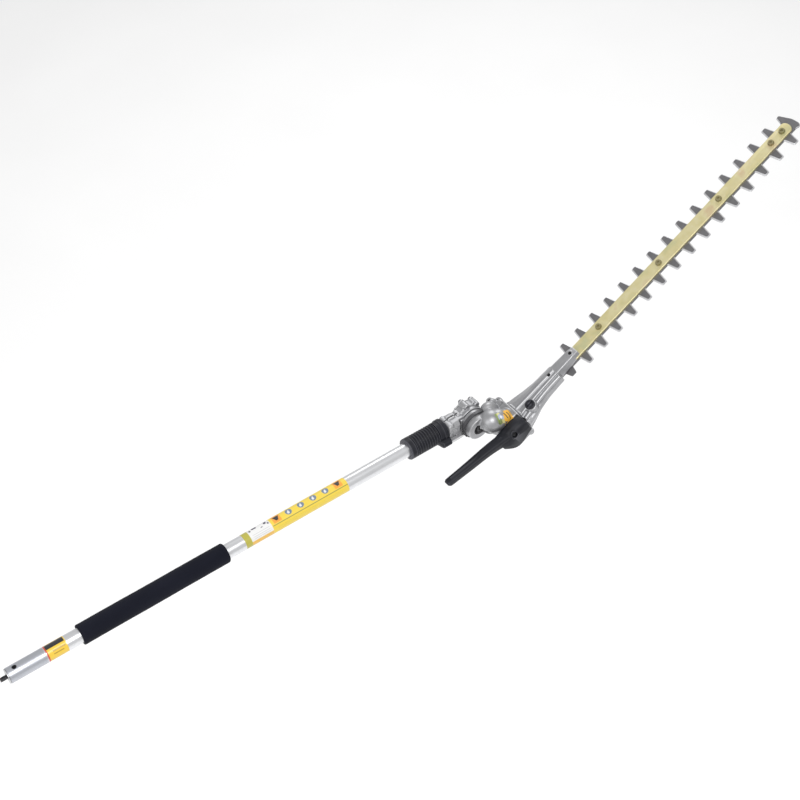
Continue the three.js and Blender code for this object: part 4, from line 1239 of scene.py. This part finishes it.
def wrapped_label(name, start, end, angle_from, angle_to, finish):
    """A thin printed film round the tube, closed from an under and an upper grid, with a UV map
    across it. Angles are in degrees about the tube, from +y towards +z."""
    rows, columns = 60, 40
    u, v = np.meshgrid(np.linspace(0, 1, rows), np.linspace(0, 1, columns), indexing="ij")
    angle = np.radians(np.linspace(angle_from, angle_to, columns))
    along, turn = np.meshgrid(np.linspace(start, end, rows), angle, indexing="ij")
    film = []
    for radius in (FILM_UNDER, FILM_OVER):
        film.append(np.stack([along, radius * np.cos(turn), radius * np.sin(turn)], -1).reshape(-1, 3))
    count = rows * columns
    face = quads(rows, columns, wrap=False)
    grid = np.arange(count).reshape(rows, columns)
    rim = np.concatenate([grid[0, :-1], grid[:-1, -1], grid[-1, :0:-1], grid[:0:-1, 0]])
    after = np.roll(rim, -1)
    walls = np.stack([rim, after, after + count, rim + count], -1)
    mesh = mesh_of(name, Skin(np.concatenate(film), face[:, ::-1], face + count, walls), SHAFT)
    print_map(mesh, np.tile(u.ravel(), 2), np.tile(v.ravel(), 2))
    work = bmesh.new()
    work.from_mesh(mesh)
    bmesh.ops.recalc_face_normals(work, faces=work.faces)
    work.to_mesh(mesh)
    work.free()
    shade(mesh, 60)
    fit(new_object(name, mesh), "shaft", FINISH[finish])


def print_map(mesh, u, v):
    """Gives each corner the place of its point on the print."""
    corner = np.zeros(len(mesh.loops), np.int32)
    mesh.loops.foreach_get("vertex_index", corner)
    mesh.uv_layers.new(name="print").data.foreach_set("uv", np.column_stack([u, v])[corner].ravel())


def housing_label():
    """A film laid on the housing's shoulder: a grid over it is dropped onto the casting along the
    part's z, eased and given its thickness. A point that starts higher also starts further forward,
    by the tangent of the head's rise, so it stays over its place."""
    tangent = 0.577
    rows, columns = 48, 24
    x, y = np.meshgrid(np.linspace(20, 56, rows), np.linspace(-62.5, -46.5, columns), indexing="ij")
    u, v = np.meshgrid(np.linspace(0, 1, rows), np.linspace(0, 1, columns), indexing="ij")
    height = 3 + 16 * np.clip((34 - x) / 10, 0, 1)
    over = x + tangent * (height + 3)
    skin = Skin(np.stack([over, y, height], -1), quads(rows, columns, wrap=False))
    mesh = mesh_of("housing_label", skin, HEAD)
    print_map(mesh, u.ravel(), v.ravel())
    piece = fit(new_object("housing_label", mesh), "head", FINISH["housing_print"])
    drape = piece.modifiers.new("drape", "SHRINKWRAP")
    drape.target = bpy.data.objects["head_casting"]
    drape.wrap_method = "PROJECT"
    drape.use_project_z = True
    drape.use_negative_direction = True
    drape.use_positive_direction = True
    drape.offset = 0.1 * MM
    ease = piece.modifiers.new("ease", "SMOOTH")
    ease.factor = 0.5
    ease.iterations = 3
    film = piece.modifiers.new("film", "SOLIDIFY")
    film.thickness = 0.25 * MM
    film.offset = 0.2
    apply_modifiers(piece)
    shade(piece.data, 50)


shaft_tube()
drive_end()
foam()
sleeve()
knuckle()
head_housing()
gear_case()
grease_plug()
covers()
handle()
blade("top_cutter", "upper_blade", False, -49.0, -47.0, "upper_cutter")
blade("bottom_cutter", "lower_blade", True, -49.3, -51.3, "lower_cutter")
guide_bar()
wrapped_label("rear_label", 70.5, 102, 45, 205, "rear_print")
wrapped_label("long_label", 402, 591.7, 38, 200, "long_print")
housing_label()


# ---------------------------------------------------------------- studio

def studio():
    """A wide pale floor well below the part, soft light boxes and an even pale sky."""
    side = 6.0
    low = -0.75
    floor_mesh = bpy.data.meshes.new("floor")
    corners = [(-side, -side, low), (side, -side, low), (side, side, low), (-side, side, low)]
    floor_mesh.from_pydata(corners, [], [(0, 1, 2, 3)])
    floor = new_object("floor", floor_mesh)
    pale = Finish("pale_floor")
    cloud = pale.noise(pale.place(), 3, 2)
    colour = pale.ramp(cloud, (0.3, (0.93, 0.93, 0.93)), (0.7, (0.95, 0.95, 0.95)))
    floor_mesh.materials.append(pale.done(
        Base_Color=colour, Roughness=0.9, Emission_Color=(1, 1, 1, 1), Emission_Strength=0.10,
    ))

    world = bpy.data.worlds.new("sky")
    world.use_nodes = True
    sky = world.node_tree.nodes["Background"]
    sky.inputs["Color"].default_value = (1, 1, 1, 1)
    sky.inputs["Strength"].default_value = 0.62
    bpy.context.scene.world = world

    boxes = [
        ("key", (0.2, -1.6, 2.6), (0.8, 0, 0), 1.4, 42),
        ("fill", (-1.6, -0.6, 1.4), (0.6, 0, 0), 1.2, 14),
        ("rim", (2.4, 1.8, 1.8), (0.9, 0, 0), 1.2, 20),
    ]
    for name, stands, aim, size, power in boxes:
        light = bpy.data.lights.new(name, "AREA")
        light.shape = "SQUARE"
        light.size = size
        light.energy = power
        lamp = new_object(name, light)
        lamp.location = stands
        lamp.rotation_euler = (Vector(aim) - Vector(stands)).to_track_quat("-Z", "Y").to_euler()


def camera():
    """Looks down on the attachment from its coupling end, on the side of the handle."""
    data = bpy.data.cameras.new("camera")
    data.lens = 63.83
    data.sensor_width = 36
    data.clip_start = 0.05
    data.clip_end = 50
    eye = new_object("camera", data)
    azimuth, elevation, roll = math.radians(-36.0), math.radians(45.64), math.radians(-1.30)
    distance = 2.327
    ground = math.cos(elevation)
    back = Vector((math.sin(azimuth) * ground, -math.cos(azimuth) * ground, math.sin(elevation)))
    level = Vector((math.cos(azimuth), math.sin(azimuth), 0))
    right = level * math.cos(roll) + back.cross(level) * math.sin(roll)
    up = back.cross(right)
    aim = PIVOT + Vector((-0.0759, 0.0801, 0.0196))
    turn = Matrix((right, up, back)).transposed().to_4x4()
    eye.matrix_world = Matrix.Translation(aim + back * distance) @ turn
    bpy.context.scene.camera = eye


studio()
camera()
bpy.context.scene.view_settings.view_transform = "Standard"
